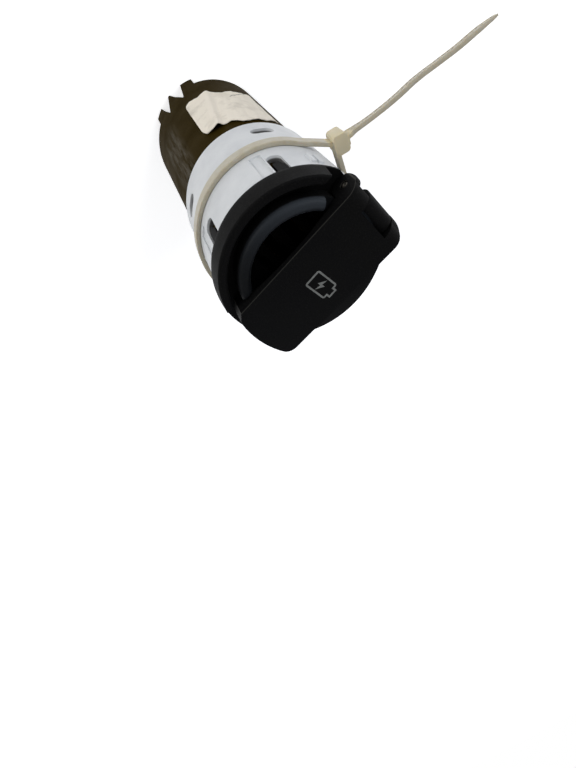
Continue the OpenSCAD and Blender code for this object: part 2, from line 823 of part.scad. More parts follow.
// A torn paper label that follows the barrel
module label() {
    slope = (rear_r - barrel_r) / (rim_z - ring_len);
    torn = [[1, 0.9], [0.61, 1], [0.375, 0.993], [-0.18, 0.865], [-0.76, 0.9], [-0.955, 0.915],
            [-0.955, 0.096], [-0.35, 0.032], [-0.057, 0], [0.307, 0.082], [0.875, 0.128], [1, 0.235]];
    z0 = -label_front - label_len - 1;
    z1 = -label_front + 1;
    r0 = barrel_r + slope * (-z0 - ring_len) + 0.02;
    r1 = barrel_r + slope * (-z1 - ring_len) + 0.02;
    color([0.85, 0.83, 0.76])
        intersection() {
            rotate_extrude() polygon([[r0, z0], [r0 + label_t, z0], [r1 + label_t, z1], [r1, z1]]);
            rotate([0, 0, label_angle])
                rotate([90, 0, 90])
                    linear_extrude(height = far)
                        polygon([for (p = torn) [p[0] * label_w / 2, -label_front - p[1] * label_len]]);
        }
}

// A straight strip of strap between two points of the tie's plane
module strap_between(a, b) {
    run = b - a;
    translate([a[0], a[1], -tie_z])
        rotate([0, 0, atan2(run[1], run[0])])
            translate([0, -tie_t / 2, -tie_w / 2]) cube([norm(run), tie_t, tie_w]);
}

// Corners of the tail's section at one place of its route, turned about the route
function tail_ring(i) =
    let (last = len(tail_route) - 1,
         a = tail_route[max(i - 1, 0)],
         b = tail_route[min(i + 1, last)],
         dir = [b[0] - a[0], b[1] - a[1]] / norm([b[0] - a[0], b[1] - a[1]]),
         side = [-dir[1], dir[0]],
         w = tie_w * tail_route[i][3] / 2,
         t = tie_t * (0.4 + 0.6 * tail_route[i][3]) / 2,
         turn = tail_route[i][2])
    [for (corner = [[-t, -w], [t, -w], [t, w], [-t, w]])
        let (across = corner[0] * cos(turn) - corner[1] * sin(turn),
             up = corner[0] * sin(turn) + corner[1] * cos(turn))
        [tail_route[i][0] + side[0] * across, tail_route[i][1] + side[1] * across, up - tie_z]];

// The tie's loose tail, a strap that twists as it leaves the head
module tie_tail() {
    count = len(tail_route);
    polyhedron(points = [for (i = [0:count - 1]) each tail_ring(i)], faces = tube_faces(count, 4));
}

module tie_head() {
    head = [head_w, head_d, tie_w + head_over];
    translate([head_at[0], head_at[1], -tie_z - head[2] / 2])
        rotate([0, 0, head_turn])
            translate([-head[0] / 2, -head[1] / 2, 0])
                intersection() {
                    cube(head);
                    translate([head[0] / 2, head[1] / 2, 0])
                        cylinder(r = norm([head[0], head[1]]) / 2 - 0.5, h = head[2], $fn = 48);
                }
}

module cable_tie() {
    lead = tie_mid * [cos(lead_angle), sin(lead_angle)];
    back = tie_mid * [cos(return_angle), sin(return_angle)];
    color([0.86, 0.84, 0.74])
        union() {
            difference() {
                tube(tie_r + tie_t, tie_r, -tie_z - tie_w / 2, -tie_z + tie_w / 2);
                translate([0, 0, -far])
                    linear_extrude(height = 2 * far) sector(return_angle, lead_angle);
            }
            strap_between(lead, head_at - [head_w * 0.27, head_d * 0.43]);
            strap_between(head_at + [head_w * 0.19, -head_d * 0.45], back);
            tie_head();
            strap_between(head_at, [tail_route[0][0], tail_route[0][1] + 0.1]);
            tie_tail();
        }
}

bezel();
lid();
lid_icon();
hinge_pin();
lid_spring();
retaining_ring();
housing();
port_face();
usb_shell(1);  // usb_shell_upper
usb_shell(-1);  // usb_shell_lower
usb_tongue(1);  // usb_tongue_upper
usb_tongue(-1);  // usb_tongue_lower
usb_contacts(1);  // usb_contacts_upper
usb_contacts(-1);  // usb_contacts_lower
charger_board();
inductor();
input_capacitor();
output_capacitor();
control_chip();
chip_parts();
connector_block();
power_terminal();
ground_terminal();
label();
cable_tie();
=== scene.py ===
"""Looks of a round car charging socket with a hinged lid.

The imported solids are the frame, and their places stay. Moulded pieces are copies of those
solids with their corners rounded, and the finer pieces are modelled here in their place.
Sizes in the classes are millimetres; the meshes are made in metres.
"""

import json
import logging
import math
from collections.abc import Callable, Iterator, Sequence
from contextlib import contextmanager
from dataclasses import dataclass
from enum import Enum
from typing import NamedTuple, Self

import bmesh
import bpy
from mathutils import Matrix, Vector
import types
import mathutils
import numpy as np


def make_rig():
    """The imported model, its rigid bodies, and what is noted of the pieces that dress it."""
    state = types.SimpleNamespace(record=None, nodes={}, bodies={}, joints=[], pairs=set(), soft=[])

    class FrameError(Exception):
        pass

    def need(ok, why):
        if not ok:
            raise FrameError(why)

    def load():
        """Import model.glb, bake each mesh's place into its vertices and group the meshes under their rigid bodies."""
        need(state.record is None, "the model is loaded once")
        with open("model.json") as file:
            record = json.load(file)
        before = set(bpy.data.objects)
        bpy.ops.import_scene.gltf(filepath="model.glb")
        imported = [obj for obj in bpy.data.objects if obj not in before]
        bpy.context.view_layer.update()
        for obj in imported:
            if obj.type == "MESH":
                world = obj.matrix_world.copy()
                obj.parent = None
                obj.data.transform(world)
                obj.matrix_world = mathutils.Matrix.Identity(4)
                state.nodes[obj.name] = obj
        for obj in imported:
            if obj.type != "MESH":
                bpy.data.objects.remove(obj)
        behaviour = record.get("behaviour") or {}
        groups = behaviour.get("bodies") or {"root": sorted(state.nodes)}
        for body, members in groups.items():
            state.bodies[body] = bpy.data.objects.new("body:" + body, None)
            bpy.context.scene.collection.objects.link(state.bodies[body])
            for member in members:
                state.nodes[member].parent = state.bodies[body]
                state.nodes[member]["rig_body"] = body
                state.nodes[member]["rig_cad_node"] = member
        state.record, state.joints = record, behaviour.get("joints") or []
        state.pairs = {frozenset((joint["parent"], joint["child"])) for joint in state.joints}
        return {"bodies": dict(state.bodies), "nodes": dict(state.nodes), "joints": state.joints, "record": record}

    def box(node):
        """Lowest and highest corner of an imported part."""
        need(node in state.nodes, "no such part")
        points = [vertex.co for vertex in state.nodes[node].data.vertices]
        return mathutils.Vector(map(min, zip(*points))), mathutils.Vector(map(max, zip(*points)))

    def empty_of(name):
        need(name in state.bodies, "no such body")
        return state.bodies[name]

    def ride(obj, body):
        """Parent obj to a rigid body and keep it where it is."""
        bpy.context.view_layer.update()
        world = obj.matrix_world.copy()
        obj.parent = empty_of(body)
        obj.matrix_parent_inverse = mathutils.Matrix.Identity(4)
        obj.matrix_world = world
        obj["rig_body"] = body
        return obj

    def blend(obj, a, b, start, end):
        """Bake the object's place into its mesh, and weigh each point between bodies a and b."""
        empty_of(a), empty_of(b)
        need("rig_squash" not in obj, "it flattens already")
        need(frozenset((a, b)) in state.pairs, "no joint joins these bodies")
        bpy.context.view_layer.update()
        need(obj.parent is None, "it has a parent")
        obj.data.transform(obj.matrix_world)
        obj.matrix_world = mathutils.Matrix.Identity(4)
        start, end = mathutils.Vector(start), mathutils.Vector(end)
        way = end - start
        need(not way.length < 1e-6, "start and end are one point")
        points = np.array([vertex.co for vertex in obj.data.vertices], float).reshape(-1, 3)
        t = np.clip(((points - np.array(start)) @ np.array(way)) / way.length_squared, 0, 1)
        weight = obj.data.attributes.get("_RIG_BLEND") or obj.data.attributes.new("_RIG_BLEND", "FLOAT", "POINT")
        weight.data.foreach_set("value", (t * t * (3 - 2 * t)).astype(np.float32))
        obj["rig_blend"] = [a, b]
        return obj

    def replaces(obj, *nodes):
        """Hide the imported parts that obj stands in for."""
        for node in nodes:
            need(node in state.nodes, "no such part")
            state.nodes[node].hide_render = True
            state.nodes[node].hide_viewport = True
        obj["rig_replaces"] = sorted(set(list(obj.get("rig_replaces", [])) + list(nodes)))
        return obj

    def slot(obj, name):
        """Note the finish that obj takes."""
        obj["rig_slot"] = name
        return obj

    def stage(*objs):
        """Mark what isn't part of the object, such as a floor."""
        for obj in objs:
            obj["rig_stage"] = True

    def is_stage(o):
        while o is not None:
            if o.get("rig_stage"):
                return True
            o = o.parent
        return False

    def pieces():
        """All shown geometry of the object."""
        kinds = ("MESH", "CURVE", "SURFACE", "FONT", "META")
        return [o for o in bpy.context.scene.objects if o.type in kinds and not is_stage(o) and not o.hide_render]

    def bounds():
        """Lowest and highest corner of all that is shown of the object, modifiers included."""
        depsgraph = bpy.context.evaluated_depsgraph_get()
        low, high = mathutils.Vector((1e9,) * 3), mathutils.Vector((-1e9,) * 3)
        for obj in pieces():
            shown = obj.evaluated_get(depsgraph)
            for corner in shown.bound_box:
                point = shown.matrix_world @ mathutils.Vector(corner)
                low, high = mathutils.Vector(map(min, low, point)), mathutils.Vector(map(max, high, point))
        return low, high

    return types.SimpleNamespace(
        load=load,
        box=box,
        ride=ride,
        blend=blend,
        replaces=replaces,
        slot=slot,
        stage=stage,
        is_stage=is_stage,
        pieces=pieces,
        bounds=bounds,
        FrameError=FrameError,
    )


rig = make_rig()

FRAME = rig.load()
CAD_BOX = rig.bounds()
LOG = logging.getLogger("socket")
MM = 0.001
# Least cosine at which a face or an edge counts as lying along an axis.
ALONG = 0.9
# How near, in millimetres, a middle lies to a plane or a point that it counts as on.
NEAR = 0.01
# How near, in millimetres, two vertices lie that become one.
MERGE = 0.002
WHITE = (1.0, 1.0, 1.0, 1.0)

Triple = tuple[float, float, float]
Test = Callable[[Vector, Vector], bool]


class Rides(Enum):
    """The two bodies of the socket."""

    SOCKET = "socket"
    LID = "lid"


class Part(Enum):
    """What a selection in edit mode is made of: bmesh's word and the operator's."""

    VERTS = ("verts", "VERT")
    EDGES = ("edges", "EDGE")
    FACES = ("faces", "FACE")


def linear(code: str) -> tuple[float, float, float, float]:
    """Turns an sRGB colour into linear light.

    Args:
        code: A hash sign and six hex digits.

    Returns:
        Red, green, blue and an alpha of 1.
    """
    parts = [int(code[i : i + 2], 16) / 255 for i in (1, 3, 5)]
    light = [p / 12.92 if p <= 0.04045 else ((p + 0.055) / 1.055) ** 2.4 for p in parts]
    return (light[0], light[1], light[2], 1.0)


def per(size_mm: float) -> float:
    """Turns a pattern's real size in millimetres into a texture's scale."""
    return 1 / (size_mm * MM)


def plug(tree: bpy.types.NodeTree, socket: bpy.types.NodeSocket, value: object) -> None:
    """Fills one input of a node.

    Args:
        tree: The node tree that it is in.
        socket: The input.
        value: A number, a vector or a hex colour to set, or a node or an output to link. A node
            gives the first output that its settings leave in use.
    """
    if isinstance(value, bpy.types.Node):
        value = next(output for output in value.outputs if output.enabled)
    if isinstance(value, bpy.types.NodeSocket):
        tree.links.new(value, socket)
    else:
        socket.default_value = linear(value) if isinstance(value, str) else value


def add(
    tree: bpy.types.NodeTree, kind: str, *values: object, **named: object
) -> bpy.types.Node:
    """Adds a node with its settings, values and links.

    Args:
        tree: The node tree that it joins.
        kind: The node's type, without the words that all shader nodes share.
        *values: What its inputs take, in the order of those that its settings leave in use.
        **named: A setting, or an input where the name has a capital, with _ for a space.

    Returns:
        The new node.
    """
    node = tree.nodes.new("ShaderNode" + kind)
    for name, value in named.items():
        if name[0].islower():
            setattr(node, name, value)
    for socket, value in zip([s for s in node.inputs if s.enabled], values):
        plug(tree, socket, value)
    for name, value in named.items():
        if name[0].isupper():
            plug(tree, node.inputs[name.replace("_", " ")], value)
    return node


def bare_tree(owner: bpy.types.Material | bpy.types.World) -> bpy.types.NodeTree:
    """Gives a material or the world an empty node tree.

    Args:
        owner: The material or the world.

    Returns:
        Its node tree.
    """
    owner.use_nodes = True
    owner.node_tree.nodes.clear()
    return owner.node_tree


@dataclass
class Skin:
    """A material while it is made: its nodes, its shader and the place on the piece in metres."""

    tree: bpy.types.NodeTree
    shader: bpy.types.Node
    place: bpy.types.NodeSocket

    def add(self, kind: str, *values: object, **named: object) -> bpy.types.Node:
        """Adds a node to this material, in the way of the function add."""
        return add(self.tree, kind, *values, **named)

    def give(self, **inputs: object) -> None:
        """Fills inputs of the shader, named with _ for a space."""
        for name, value in inputs.items():
            plug(self.tree, self.shader.inputs[name.replace("_", " ")], value)

    def tint(self, colour: str, *shares: bpy.types.Node) -> None:
        """Turns the base colour towards another one.

        Args:
            colour: The other colour, in hex.
            *shares: How far it turns, each from 0 to 1, multiplied with each other.
        """
        share = shares[0]
        for other in shares[1:]:
            share = self.add("Math", share, other, operation="MULTIPLY")
        base = self.shader.inputs["Base Color"]
        plain = base.links[0].from_socket if base.links else tuple(base.default_value)
        self.give(Base_Color=self.add("Mix", share, plain, colour, data_type="RGBA"))

    def off_axis(self) -> bpy.types.Node:
        """Measures, in metres, how far a point lies from the socket's axis."""
        flat = self.add("VectorMath", self.place, (1.0, 1.0, 0.0), operation="MULTIPLY")
        return self.add("VectorMath", flat, operation="LENGTH")


@dataclass(frozen=True)
class Finish:
    """One real material: its colour, and how its surface takes the light."""

    name: str
    colour: str
    roughness: float
    metallic: float = 0.0
    specular: float = 0.5

    def material(self) -> bpy.types.Material:
        """Makes the material, the first time that a piece asks for it.

        Returns:
            The material, under the name of what it is.
        """
        material = bpy.data.materials.get(self.name)
        if material is None:
            material = bpy.data.materials.new(self.name)
            tree = bare_tree(material)
            place = add(tree, "TexCoord").outputs["Object"]
            skin = Skin(tree, add(tree, "BsdfPrincipled"), place)
            skin.give(
                Base_Color=self.colour,
                Roughness=self.roughness,
                Metallic=self.metallic,
                Specular_IOR_Level=self.specular,
            )
            add(tree, "OutputMaterial", skin.shader)
            self.pattern(skin)
        return material

    def pattern(self, skin: Skin) -> None:
        """Adds what the surface shows close up; a bare finish adds nothing.

        Args:
            skin: The material that is being made.
        """


@dataclass(frozen=True)
class Moulded(Finish):
    """Injection moulded plastic: a grained or polished skin, with soft tone changes of the melt."""

    tone: str = "#202020"
    tone_mm: float = 6.0
    grain_mm: float = 0.3
    grain_depth_mm: float = 0.012
    fleck: str = "#303030"
    fleck_share: float = 0.2
    uneven: float = 0.08

    def pattern(self, skin: Skin) -> None:
        """Adds the melt's tone, the skin's flecks and grain, and an uneven sheen.

        Args:
            skin: The material that is being made.
        """
        melt = skin.add("TexNoise", skin.place, per(self.tone_mm), Detail=3.0, Roughness=0.6)
        grain = skin.add("TexNoise", skin.place, per(self.grain_mm), Detail=2.0, Roughness=0.65)
        skin.tint(self.tone, skin.add("MapRange", melt, 0.35, 0.65))
        skin.tint(self.fleck, skin.add("MapRange", grain, 0.55, 0.75, 0.0, self.fleck_share))
        smooth, rough = self.roughness - self.uneven, self.roughness + self.uneven
        skin.give(
            Roughness=skin.add("MapRange", melt, 0.3, 0.7, smooth, rough),
            Normal=skin.add("Bump", Height=grain, Distance=self.grain_depth_mm * MM, Strength=1.0),
        )


@dataclass(frozen=True)
class BarrelWearAndPaintedSheen(Moulded):
    """Glass-filled nylon of the barrel: fine lines along it, and a paler patch that is part wear from handling and
    part painted sheen.
    """

    rubbed: str = "#a9a59b"
    rub_angle: float = 204.0
    rub_half: float = 17.0
    rub_fade: float = 11.0
    rub_z: tuple[float, float] = (-64.0, -52.0)
    rub_share: float = 0.2
    streak_mm: float = 1.1
    streak_length: float = 0.12

    def pattern(self, skin: Skin) -> None:
        """Adds the moulding's look, and the pale patch, part wear and part painted sheen, with its scratches along the
        barrel.

        Args:
            skin: The material that is being made.
        """
        super().pattern(skin)
        turn = skin.add("Mapping", skin.place, Rotation=(0.0, 0.0, -math.radians(self.rub_angle)))
        x, y, z = skin.add("SeparateXYZ", turn).outputs
        away = skin.add("Math", skin.add("Math", y, x, operation="ARCTAN2"), operation="ABSOLUTE")
        half, core = math.radians(self.rub_half), math.radians(self.rub_half - self.rub_fade)
        patch = skin.add("MapRange", away, half, core, interpolation_type="SMOOTHSTEP")
        rear, front = (end * MM for end in self.rub_z)
        ahead = skin.add("MapRange", z, rear, front, interpolation_type="SMOOTHSTEP")
        drawn = skin.add("Mapping", skin.place, Scale=(1.0, 1.0, self.streak_length))
        lines = skin.add("TexNoise", drawn, per(self.streak_mm), Detail=4.0, Roughness=0.7)
        broken = skin.add("MapRange", lines, 0.4, 0.72, 0.0, self.rub_share)
        # Pale patch: part wear, part painted sheen.
        skin.tint(self.rubbed, broken, patch, ahead)


@dataclass(frozen=True)
class RecessShadedRing(Moulded):
    """Ring whose slots and clip pockets are painted darker below its outer skin, as painted shade."""

    dust: str = "#3d3b38"
    dust_share: float = 0.9
    skin_r: float = 15.93
    floor_r: float = 15.7

    def pattern(self, skin: Skin) -> None:
        """Adds the moulding's look, and painted shade that deepens towards the floor of each recess.

        Args:
            skin: The material that is being made.
        """
        super().pattern(skin)
        top, floor = self.skin_r * MM, self.floor_r * MM
        depth = skin.add("MapRange", skin.off_axis(), top, floor, 0.0, self.dust_share)
        # Painted shade: darker towards the floor of each recess.
        skin.tint(self.dust, depth)


@dataclass(frozen=True)
class LidSkin(Moulded):
    """Lid's grained skin, with a fine pale painted highlight along the corner of its straight edge."""

    edge_x: float = -5.8
    corner: tuple[float, float] = (0.03, 0.24)
    corner_fade: float = 0.08
    rubbed: str = "#44433f"
    rub_share: float = 0.6

    def pattern(self, skin: Skin) -> None:
        """Adds the moulding's look and the painted highlight on the corner.

        Args:
            skin: The material that is being made.
        """
        super().pattern(skin)
        x = skin.add("SeparateXYZ", skin.place).outputs["X"]
        start, end = (self.edge_x + part for part in self.corner)
        inner = skin.add("MapRange", x, start * MM, (start + self.corner[0]) * MM)
        clear = (end - self.corner_fade) * MM
        outer = skin.add("MapRange", x, end * MM, clear, 0.0, self.rub_share)
        # Painted highlight: a paler line on the rounded corner of the straight edge.
        skin.tint(self.rubbed, inner, outer)


@dataclass(frozen=True)
class BezelSkin(Moulded):
    """Bezel's grained skin, polished smooth on the lip that plugs pass, with a paler blue-grey painted highlight
    there.
    """

    lip_r: float = 13.4
    lip_z: float = 4.0
    lip_fade: tuple[float, float] = (0.4, 0.5)
    polished: float = 0.34
    scuffed: str = "#3c4147"
    scuff_y: tuple[float, float] = (-9.0, 10.0)
    scuff_share: tuple[float, float] = (0.12, 0.75)

    def pattern(self, skin: Skin) -> None:
        """Adds the moulding's look, the polished lip, and a paler blue-grey painted highlight on it, strongest on the
        hinge's side.

        Args:
            skin: The material that is being made.
        """
        super().pattern(skin)
        _, y, z = skin.add("SeparateXYZ", skin.place).outputs
        wide, high = self.lip_fade
        inside = skin.add(
            "MapRange", skin.off_axis(), (self.lip_r + wide) * MM, self.lip_r * MM
        )
        above = skin.add("MapRange", z, (self.lip_z - high) * MM, self.lip_z * MM)
        lip = skin.add("Math", inside, above, operation="MULTIPLY")
        sheen = skin.shader.inputs["Roughness"].links[0].from_socket
        skin.give(Roughness=skin.add("Mix", lip, sheen, self.polished, data_type="FLOAT"))
        ends = [y_mm * MM for y_mm in self.scuff_y]
        lip_highlight_fade = skin.add(
            "MapRange", y, *ends, *self.scuff_share, interpolation_type="SMOOTHSTEP"
        )
        # Painted highlight: the lip is tinted paler blue-grey.
        skin.tint(self.scuffed, lip, lip_highlight_fade)


@dataclass(frozen=True)
class Paper(Finish):
    """Label stock: matt fibres, a little grime and a faded stroke of print."""

    fibre_mm: float = 0.35
    grime_mm: float = 5.0
    grime: str = "#8d8473"
    grime_share: float = 0.45
    print_tone: str = "#5b5850"
    stroke_angle: float = 125.0
    stroke_z: float = -54.2
    stroke_slope: float = -1.05
    stroke_half: tuple[float, float] = (0.48, 0.28)
    stroke_reach: tuple[float, float] = (2.7, 2.3)

    def pattern(self, skin: Skin) -> None:
        """Adds fibres, cloudy grime and the faded stroke.

        Args:
            skin: The material that is being made.
        """
        cloud = skin.add("TexNoise", skin.place, per(self.grime_mm), Detail=4.0, Roughness=0.6)
        fibre = skin.add("TexNoise", skin.place, per(self.fibre_mm), Detail=3.0)
        skin.tint(self.grime, skin.add("MapRange", cloud, 0.5, 0.8, 0.0, self.grime_share))
        angle = -math.radians(self.stroke_angle)
        turn = skin.add("Mapping", skin.place, Rotation=(0.0, 0.0, angle))
        _, y, z = skin.add("SeparateXYZ", turn).outputs
        line = skin.add(
            "Math", y, self.stroke_slope, -self.stroke_z * MM, operation="MULTIPLY_ADD"
        )
        off = skin.add("Math", skin.add("Math", z, line, operation="ADD"), operation="ABSOLUTE")
        side = skin.add("Math", y, operation="ABSOLUTE")
        thin = skin.add("MapRange", off, *(half * MM for half in self.stroke_half))
        ends = skin.add("MapRange", side, *(reach * MM for reach in self.stroke_reach))
        faded = skin.add("MapRange", fibre, 0.35, 0.6, 0.1, 0.8)
        skin.tint(self.print_tone, thin, ends, faded)
        skin.give(Normal=skin.add("Bump", Height=fibre, Distance=0.02 * MM, Strength=0.8))


@dataclass(frozen=True)
class NaturalNylon(Finish):
    """Undyed nylon 66: milky, and light passes a little way into it before it comes back."""

    cloudy: str = "#b0a893"
    cloud_mm: float = 1.6
    thick_tone: str = "#cfc5a8"
    thick_at: Triple = (-2.65, 19.87, -13.45)
    thick_r: tuple[float, float] = (2.7, 3.2)
    light_depth_mm: float = 0.8
    wax_mm: float = 0.5

    def pattern(self, skin: Skin) -> None:
        """Adds milky clouds, the head's warmer tone, the depth of light and a waxy skin.

        Args:
            skin: The material that is being made.
        """
        skin.give(
            Subsurface_Weight=0.35,
            Subsurface_Radius=(1.0, 0.75, 0.45),
            Subsurface_Scale=self.light_depth_mm * MM,
        )
        cloud = skin.add("TexNoise", skin.place, per(self.cloud_mm), Detail=3.0, Roughness=0.6)
        skin.tint(self.cloudy, skin.add("MapRange", cloud, 0.35, 0.7))
        head = tuple(part * MM for part in self.thick_at)
        apart = skin.add("VectorMath", skin.place, head, operation="DISTANCE")
        core, rim = (r * MM for r in self.thick_r)
        skin.tint(self.thick_tone, skin.add("MapRange", apart, rim, core))
        wax = skin.add("TexNoise", skin.place, per(self.wax_mm), Detail=2.0)
        skin.give(Normal=skin.add("Bump", Height=wax, Distance=0.02 * MM, Strength=0.7))


@dataclass(frozen=True)
class DrawnMetal(Finish):
    """Drawn or rolled metal: fine lines along the working direction over a faint tarnish."""

    tarnish: str = "#6d6a63"
    tarnish_mm: float = 1.5
    along: Triple = (0.05, 1.0, 1.0)
    line_mm: float = 0.12

    def pattern(self, skin: Skin) -> None:
        """Adds the lines and the tarnish.

        Args:
            skin: The material that is being made.
        """
        drawn = skin.add("Mapping", skin.place, Scale=self.along)
        lines = skin.add("TexNoise", drawn, per(self.line_mm), Detail=2.0)
        stain = skin.add("TexNoise", skin.place, per(self.tarnish_mm), Detail=4.0, Roughness=0.65)
        skin.tint(self.tarnish, skin.add("MapRange", stain, 0.45, 0.75, 0.0, 0.5))
        smooth, rough = self.roughness - 0.08, self.roughness + 0.1
        skin.give(
            Roughness=skin.add("MapRange", lines, 0.3, 0.7, smooth, rough),
            Normal=skin.add("Bump", Height=lines, Distance=0.004 * MM, Strength=0.6),
        )


@dataclass(frozen=True)
class SolderMask(Finish):
    """Green solder mask over copper tracks, which show as paler raised lines."""

    track: str = "#1f6a3c"
    pitch_mm: float = 1.9
    wander_mm: float = 5.0

    def pattern(self, skin: Skin) -> None:
        """Adds tracks that wander between the parts.

        Args:
            skin: The material that is being made.
        """
        bend = skin.add("TexNoise", skin.place, per(9.0), Detail=1.0).outputs["Color"]
        push = skin.add("VectorMath", bend, (self.wander_mm * MM,) * 3, operation="MULTIPLY")
        route = skin.add("VectorMath", skin.place, push, operation="ADD")
        cells = skin.add(
            "TexVoronoi",
            route,
            per(self.pitch_mm),
            Randomness=0.35,
            feature="DISTANCE_TO_EDGE",
        )
        line = skin.add("MapRange", cells, 0.1, 0.06)
        skin.tint(self.track, line)
        skin.give(Normal=skin.add("Bump", Height=line, Distance=0.03 * MM, Strength=0.8))


# Spark-eroded ABS: a black that stays soft and grey where light grazes it, never glossy. The real
# grain is about 0.05 mm, too fine to show, so it is drawn at 0.24 mm.
# The lip's paler blue-grey tint is a painted highlight.
BEZEL_ABS = BezelSkin(
    "Black ABS, moulded, spark-eroded grain, bezel",
    "#070708",
    0.55,
    specular=0.033,
    tone="#0a0a0a",
    tone_mm=7.0,
    grain_mm=0.24,
    grain_depth_mm=0.03,
    fleck="#272726",
    fleck_share=0.4,
    uneven=0.05,
)
# The same ABS as the bezel, painted a shade blacker as painted shade, with one pale painted highlight along its
# straight corner.
LID_ABS = LidSkin(
    "Black ABS, moulded, spark-eroded grain, lid",
    "#060607",
    0.55,
    specular=0.03,
    tone="#090909",
    tone_mm=7.0,
    grain_mm=0.24,
    grain_depth_mm=0.03,
    fleck="#272726",
    fleck_share=0.4,
    uneven=0.05,
)
# Acetal moulded in a smooth tool: a cool white with a waxy sheen, faint flow clouds, and painted shade in the slots.
WHITE_POM = RecessShadedRing(
    "White acetal, moulded, satin",
    "#d2d5d7",
    0.42,
    specular=0.2,
    tone="#c9cccf",
    tone_mm=9.0,
    grain_mm=0.5,
    grain_depth_mm=0.012,
    fleck="#b9bbba",
    fleck_share=0.16,
    uneven=0.1,
)
# Glass-filled nylon: olive brown and nearly matt, with glass fleck that the eye reads as a dusty
# bloom. Real fibres are finer, so the fleck is drawn at 0.35 mm.
# Its pale patch on one side is part wear and part painted sheen.
DARK_NYLON = BarrelWearAndPaintedSheen(
    "Dark glass-filled nylon, moulded, rubbed",
    "#2e2408",
    0.5,
    specular=0.003,
    tone="#271e06",
    tone_mm=8.0,
    grain_mm=0.35,
    grain_depth_mm=0.015,
    fleck="#43381f",
    fleck_share=0.22,
    uneven=0.08,
)
# Uncoated label stock, aged to cream: dead matt, cloudy with grime. Its fibres are drawn at
# 0.35 mm, coarser than real ones.
LABEL_PAPER = Paper("Cream label paper, creased", "#ebe4d6", 0.78, specular=0.25)
# Undyed nylon lets light in, which gives the milky glow of a cable tie and its yellowed clouds.
# The head is thick enough to look warmer than the strap.
TIE_NYLON = NaturalNylon("Natural nylon 66, moulded", "#b8b3a3", 0.38, specular=0.2)
# Pad-printed ink: flat light grey, broken by the lid's grain under it.
ICON_INK = Moulded(
    "Light grey pad-printing ink",
    "#868886",
    0.55,
    specular=0.12,
    tone="#767876",
    tone_mm=1.0,
    grain_mm=0.15,
    grain_depth_mm=0.008,
    fleck="#5c5d5b",
    fleck_share=0.5,
)
# Drawn steel, oil-blacked: a dull dark glint in the ear, not a bright dot.
PIN_STEEL = DrawnMetal("Steel pin, drawn, oil-blacked", "#45423d", 0.42, 1.0, tarnish="#2c2926")
# Bright drawn wire: long soft highlights round each turn. Die lines are drawn at 0.12 mm to show.
SPRING_STEEL = DrawnMetal("Spring steel wire, drawn", "#8f9094", 0.32, 1.0)
# Rolled sheet under black nickel: nearly as dark as the mouth, with a thin glint on its folds.
SHELL_STEEL = DrawnMetal(
    "Black nickel sheet, rolled", "#2b2b2d", 0.36, 1.0, tarnish="#19191a", along=(1.0, 1.0, 0.06)
)
# Flash gold over nickel: warm and smooth, duller where plugs wipe it.
CONTACT_GOLD = DrawnMetal(
    "Gold-plated contact strip", "#c89f4d", 0.28, 1.0, tarnish="#8a6a34", along=(1.0, 1.0, 0.06)
)
# Stamped brass under thin tin: pale straw with grey tarnish.
TERMINAL_BRASS = DrawnMetal(
    "Tinned brass blade, stamped", "#b7a57c", 0.3, 1.0, tarnish="#8d8468", along=(1.0, 1.0, 0.06)
)
# Glass-filled LCP: a dry matt black that keeps the mouth dark.
PORT_PLASTIC = Moulded(
    "Black LCP, moulded",
    "#0b0b0c",
    0.6,
    specular=0.1,
    tone="#0e0e0e",
    fleck="#191919",
    grain_mm=0.25,
)
# PBT connector moulding: dark grey with a satin skin.
CONNECTOR_PBT = Moulded(
    "Dark grey PBT, moulded", "#1e1e20", 0.5, tone="#252527", fleck="#363638", grain_mm=0.4
)
# Solder mask: glossy deep green, with the tracks under it as paler ridges.
BOARD_MASK = SolderMask("Green solder mask on glass laminate", "#0f3d22", 0.35)
# Pressed iron powder in resin: matt grey, speckled like fine stone.
FERRITE = Moulded(
    "Moulded ferrite",
    "#2f2f31",
    0.75,
    tone="#3b3a39",
    tone_mm=2.0,
    fleck="#565452",
    fleck_share=0.5,
    grain_mm=0.3,
    grain_depth_mm=0.04,
)
# Shrunk PET sleeve: a tight glossy blue skin.
SLEEVE = Moulded("Shrink sleeve, dark blue", "#141a3a", 0.3, tone="#1a2147", fleck="#202955")
# Filled epoxy: dull black with a sandy skin.
CHIP_EPOXY = Moulded("Moulded epoxy", "#17171a", 0.7, tone="#1d1d20", fleck="#2a2a2d", grain_mm=0.2)
# Fired ceramic: even tan with a faint sheen.
CHIP_CERAMIC = Moulded(
    "Fired ceramic, tan", "#8d6f4a", 0.5, tone="#7c603e", tone_mm=1.5, fleck="#b09570"
)


